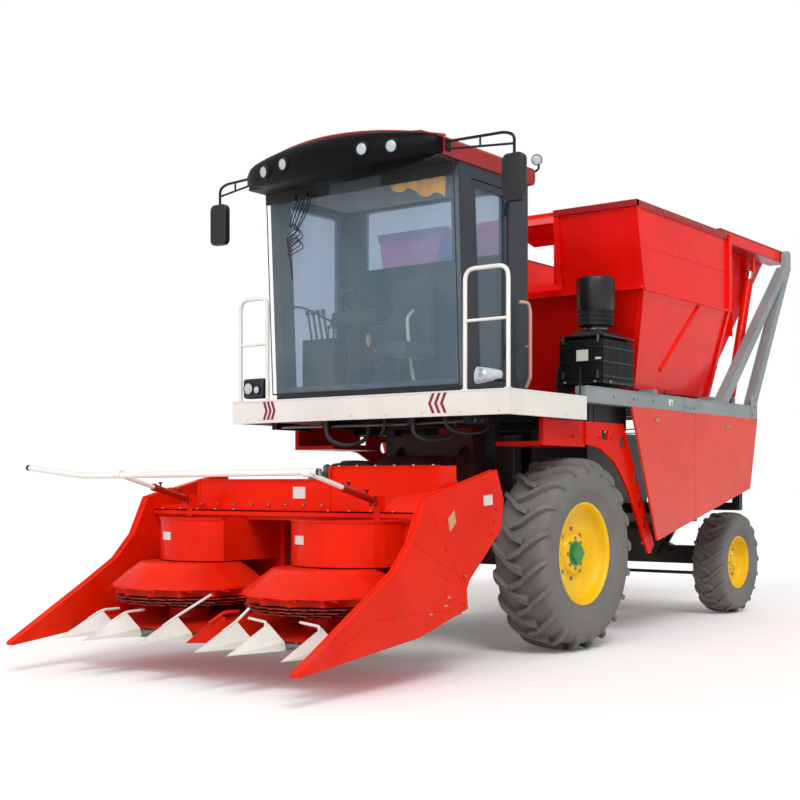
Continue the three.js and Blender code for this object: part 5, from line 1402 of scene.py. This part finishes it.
def makeBinTrim():
    look = binLook
    half, knee, top = look["half"], look["knee"], look["top"]
    lips, ribs, bolts = newShape(), newShape(), newShape()
    for hand in (1, -1):
        addSorted(lips, (hand * (half - 34), look["front"] - 10, top - 46),
                  (hand * (half + 12), look["rear"] + 6, top + 8))
        addSorted(lips, (hand * look["mouth"], look["front"] - 14, top - 40),
                  (hand * (half + 12), look["front"] + 26, top + 8))
        # folded corner up the front edge, and the flange at the knee
        addPlate(ribs, ((hand * (half + 6), look["front"] - 8, top),
                        (hand * (half - 60), look["front"] - 8, top),
                        (hand * (half - 60), look["frontKnee"] - 8, knee),
                        (hand * (half + 6), look["frontKnee"] - 8, knee)), (0, 7, 0))
        addPlate(ribs, ((hand * (half + 7), look["front"] - 4, top),
                        (hand * (half + 7), look["front"] + 56, top),
                        (hand * (half + 7), look["frontKnee"] + 56, knee),
                        (hand * (half + 7), look["frontKnee"] - 4, knee)), (-hand * 7, 0, 0))
        addSorted(ribs, (hand * (half - 6), look["frontKnee"] - 20, knee - 10),
                  (hand * (half + 22), look["rear"], knee + 10))
        addPlate(ribs, ((hand * (half + 2), look["frontKnee"], knee - 8),
                        (hand * (half - 50), look["frontKnee"] - 3, knee - 8),
                        (hand * (look["bottomHalf"] - 50), look["bottomFront"] - 3, look["bottom"]),
                        (hand * (look["bottomHalf"] + 4), look["bottomFront"], look["bottom"])), (0, -6, 0))
        addRod(ribs, (hand * (half - 1), 1835, knee - 22), (hand * 1092, 1420, 2162), 15, 6)
        addSorted(ribs, (hand * (half - 10), look["rear"] - 44, knee - 10),
                  (hand * (half + 26), look["rear"] + 4, top))
        addPlate(ribs, ((hand * (half + 2), look["rear"] - 40, knee), (hand * (half + 2), look["rear"], knee),
                        (hand * (look["bottomHalf"] + 12), look["rear"], look["bottom"]),
                        (hand * (look["bottomHalf"] + 12), look["rear"] - 40, look["bottom"])),
                 (hand * 16, 0, 0))
        addRod(ribs, (hand * (half + 1), look["front"] + 120, 3085),
               (hand * (half + 1), look["rear"] - 50, 3085), 4, 6)
        addSorted(ribs, (hand * (look["mouth"] + 4), look["front"] - 6, 2830),
                  (hand * (look["mouth"] + 44), look["front"] + 26, top - 30))
        for y in (2700, 3050, 3400):
            low = look["bottom"] + 60 + (y - look["rear"]) * 0.93
            addSorted(ribs, (hand * (look["tailHalf"] - 4), y, min(low, 3260)),
                      (hand * (look["tailHalf"] + 36), y + 34, 3372))
        addBolts(bolts, (hand * (half + 14), 900, top - 16), (hand * (half + 14), 2350, top - 16), 7,
                 (hand, 0, 0), 8)
        addBolts(bolts, (hand * (half + 8), 2440, 2800), (hand * (half + 27), 2440, 3360), 5, (hand, 0, 0), 9)
    addBox(ribs, (-look["half"], look["frontKnee"] - 62, knee - 2),
           (look["half"], look["frontKnee"] - 54, knee + 30))
    finishPiece(lips, "bin_lips", "roofRed", "bin")
    finishPiece(ribs, "bin_ribs", "binRed", "bin")
    finishPiece(bolts, "bin_bolts", "zinc", "bin")
    tail = newShape()
    for hand in (1, -1):
        addSorted(tail, (hand * 1028, 2436, 3372), (hand * 1190, 3990, 3384))
        addSorted(tail, (hand * 1028, 2436, 3476), (hand * 1190, 3990, 3486))
    finishPiece(tail, "bin_beam_flanges", "roofRed", "bin")
    hood = newShape()
    for y, z in ((860, 3440), (1150, 3520), (1500, 3545), (1850, 3530)):
        addBox(hood, (-look["mouth"] - 8, y - 12, z - 8), (look["mouth"] + 8, y + 12, z + 8))
    finishPiece(hood, "bin_hood_straps", "binRed", "bin")


makeBinTrim()

# side panels, fenders, beams and struts
bodyLook = dict(panelX=1250, seam=1760, beamX=1250, fenderX=1169)


def makeBodyTrim():
    look = bodyLook
    seams, bolts, beams, blank, fenderTrim = (newShape() for _ in range(5))
    for hand in (1, -1):
        x = hand * look["panelX"]
        corners = ((610, 1822), (3120, 1822), (2950, 1190), (1050, 780))
        for first, second in zip(corners, corners[1:] + corners[:1]):
            addRod(seams, (x - hand * 4, *first), (x - hand * 4, *second), 6, 8)
        addRod(seams, (x, look["seam"], 1815), (x, look["seam"], 938), 3, 6)
        addBolts(bolts, (x, 700, 1792), (x, 3050, 1792), 9, (hand, 0, 0), 7)
        addBolts(bolts, (x, 1120, 830), (x, 2860, 1208), 6, (hand, 0, 0), 7)
        for y in (1000, 2400):
            addSorted(bolts, (x, y, 1720), (x + hand * 8, y + 70, 1744))
        beamX = hand * look["beamX"]
        addSorted(beams, (beamX, 1540, 1822), (beamX + hand * 6, 1760, 1940))
        addSorted(beams, (beamX, -118, 1934), (beamX + hand * 4, 3098, 1942))
        addBolts(bolts, (beamX + hand * 6, 1570, 1860), (beamX + hand * 6, 1730, 1860), 3, (hand, 0, 0), 10)
        addBolts(bolts, (beamX, 300, 1880), (beamX, 1300, 1880), 4, (hand, 0, 0), 9)
        addSorted(beams, (beamX, 2960, 1824), (beamX + hand * 8, 3100, 2040))
        addBolts(bolts, (beamX + hand * 8, 2990, 1860), (beamX + hand * 8, 3070, 2000), 3, (hand, 0, 0), 11)
        fenderX = hand * look["fenderX"]
        addBolts(fenderTrim, (fenderX, -160, 1570), (fenderX, 420, 1575), 4, (hand, 0, 0), 9)
        addBolts(fenderTrim, (fenderX, 760, 1180), (fenderX, 930, 760), 3, (hand, 0, 0), 9)
    addPlate(blank, ((1251.5, 1250, 1862), (1251.5, 1330, 1862), (1251.5, 1330, 1912), (1251.5, 1250, 1912)),
             (-3, 0, 0))
    # the seams take the side panels' paler red, a painted sky reflection
    finishPiece(seams, "side_panel_edges", "paintedReflectionPanelRed", "chassis")
    finishPiece(bolts, "side_bolts", "zinc", "chassis")
    finishPiece(beams, "bin_frame_plates", "grey", "chassis")
    finishPiece(blank, "beam_blank_plate", "label", "chassis")
    finishPiece(fenderTrim, "fender_bolts", "red", "chassis")


makeBodyTrim()

# under the platform, at the engine and at the back
underLook = dict(grilleBars=17, grilleLow=1150, grillePitch=38, grilleHalf=330,
                 spoutJoints=(2120, 2620, 2990),
                 bracketsX=(-900, -400, 380, 860), tailLampX=420,
                 # radius and path; both ends of every hose are inside the deck
                 hoses=((16, ((-360, -1120, 1813), (-356, -1130, 1560), (-230, -1080, 1500),
                              (-110, -960, 1540), (-90, -930, 1813))),
                        (14, ((420, -1100, 1813), (428, -1125, 1570), (500, -1060, 1530),
                              (550, -800, 1560), (560, -760, 1813))),
                        (12, ((700, -1120, 1813), (708, -1135, 1610), (790, -1000, 1570),
                              (815, -760, 1600), (820, -720, 1813))),
                        (12, ((160, -1080, 1813), (154, -1100, 1610), (60, -1020, 1580),
                              (-20, -840, 1610), (-40, -800, 1813)))),
                 pipes=((11, ((900, -1050, 1660), (300, -1050, 1650), (-900, -1050, 1660))),
                        (8, ((900, -960, 1664), (200, -960, 1650), (-900, -960, 1664)))))


def makeUnderside():
    look = underLook
    hoses, steel, spoutTrim, rear, lamps, dark = (newShape() for _ in range(6))
    for radius, path in look["hoses"]:
        addPipe(hoses, path, radius, 10, 80)
    for radius, path in look["pipes"]:
        addPipe(steel, path, radius, 8, 40)
    for x in look["bracketsX"]:
        addBox(dark, (x - 24, -1100, 1640), (x + 24, -700, 1690))
    finishPiece(hoses, "platform_hoses", "rubberHose", "chassis")
    finishPiece(steel, "platform_pipes", "steel", "chassis")
    finishPiece(dark, "platform_brackets", "black", "chassis")
    for level in look["spoutJoints"]:
        addBox(spoutTrim, (-172, 22, level), (172, 298, level + 26))
    finishPiece(spoutTrim, "spout_flanges", "binRed", "chassis")
    for index in range(look["grilleBars"]):
        z = look["grilleLow"] + index * look["grillePitch"]
        addBox(rear, (-look["grilleHalf"], 3112, z), (look["grilleHalf"], 3124, z + 10))
    for x in (-346, 330):
        addBox(rear, (x, 3106, 1130), (x + 16, 3130, 1800))
    finishPiece(rear, "radiator_grille", "black", "chassis")
    for hand in (1, -1):
        addTurned(lamps, [(0, 30), (30, 28), (42, 18), (44, 0), (0, 0)],
                  Vector((hand * look["tailLampX"], 3644, 985)), (0, 1, 0), 24)
    finishPiece(lamps, "tail_lamps", "stripe", "chassis")


makeUnderside()
print("body is fitted")

# floor
floorMesh = bpy.data.meshes.new("floor")
floorShape = bmesh.new()
bmesh.ops.create_grid(floorShape, x_segments=1, y_segments=1, size=studio["floorSize"])
floorShape.to_mesh(floorMesh)
floorShape.free()
floor = bpy.data.objects.new("floor", floorMesh)
floor.location = (0, 0, -studio["floorDepth"])
scene.collection.objects.link(floor)
floorMaterial, floorTree, floorShader = newMaterial("floorPaper")
floorShader.inputs["Base Color"].default_value = linear(studio["floorTint"])
floorShader.inputs["Roughness"].default_value = 0.9
floorShader.inputs["Emission Color"].default_value = (1, 1, 1, 1)
floorRays = floorTree.nodes.new("ShaderNodeLightPath")
floorTree.links.new(math(floorTree, "MULTIPLY", floorRays.outputs["Is Camera Ray"], 0.06),
                    floorShader.inputs["Emission Strength"])
floorMesh.materials.append(floorMaterial)
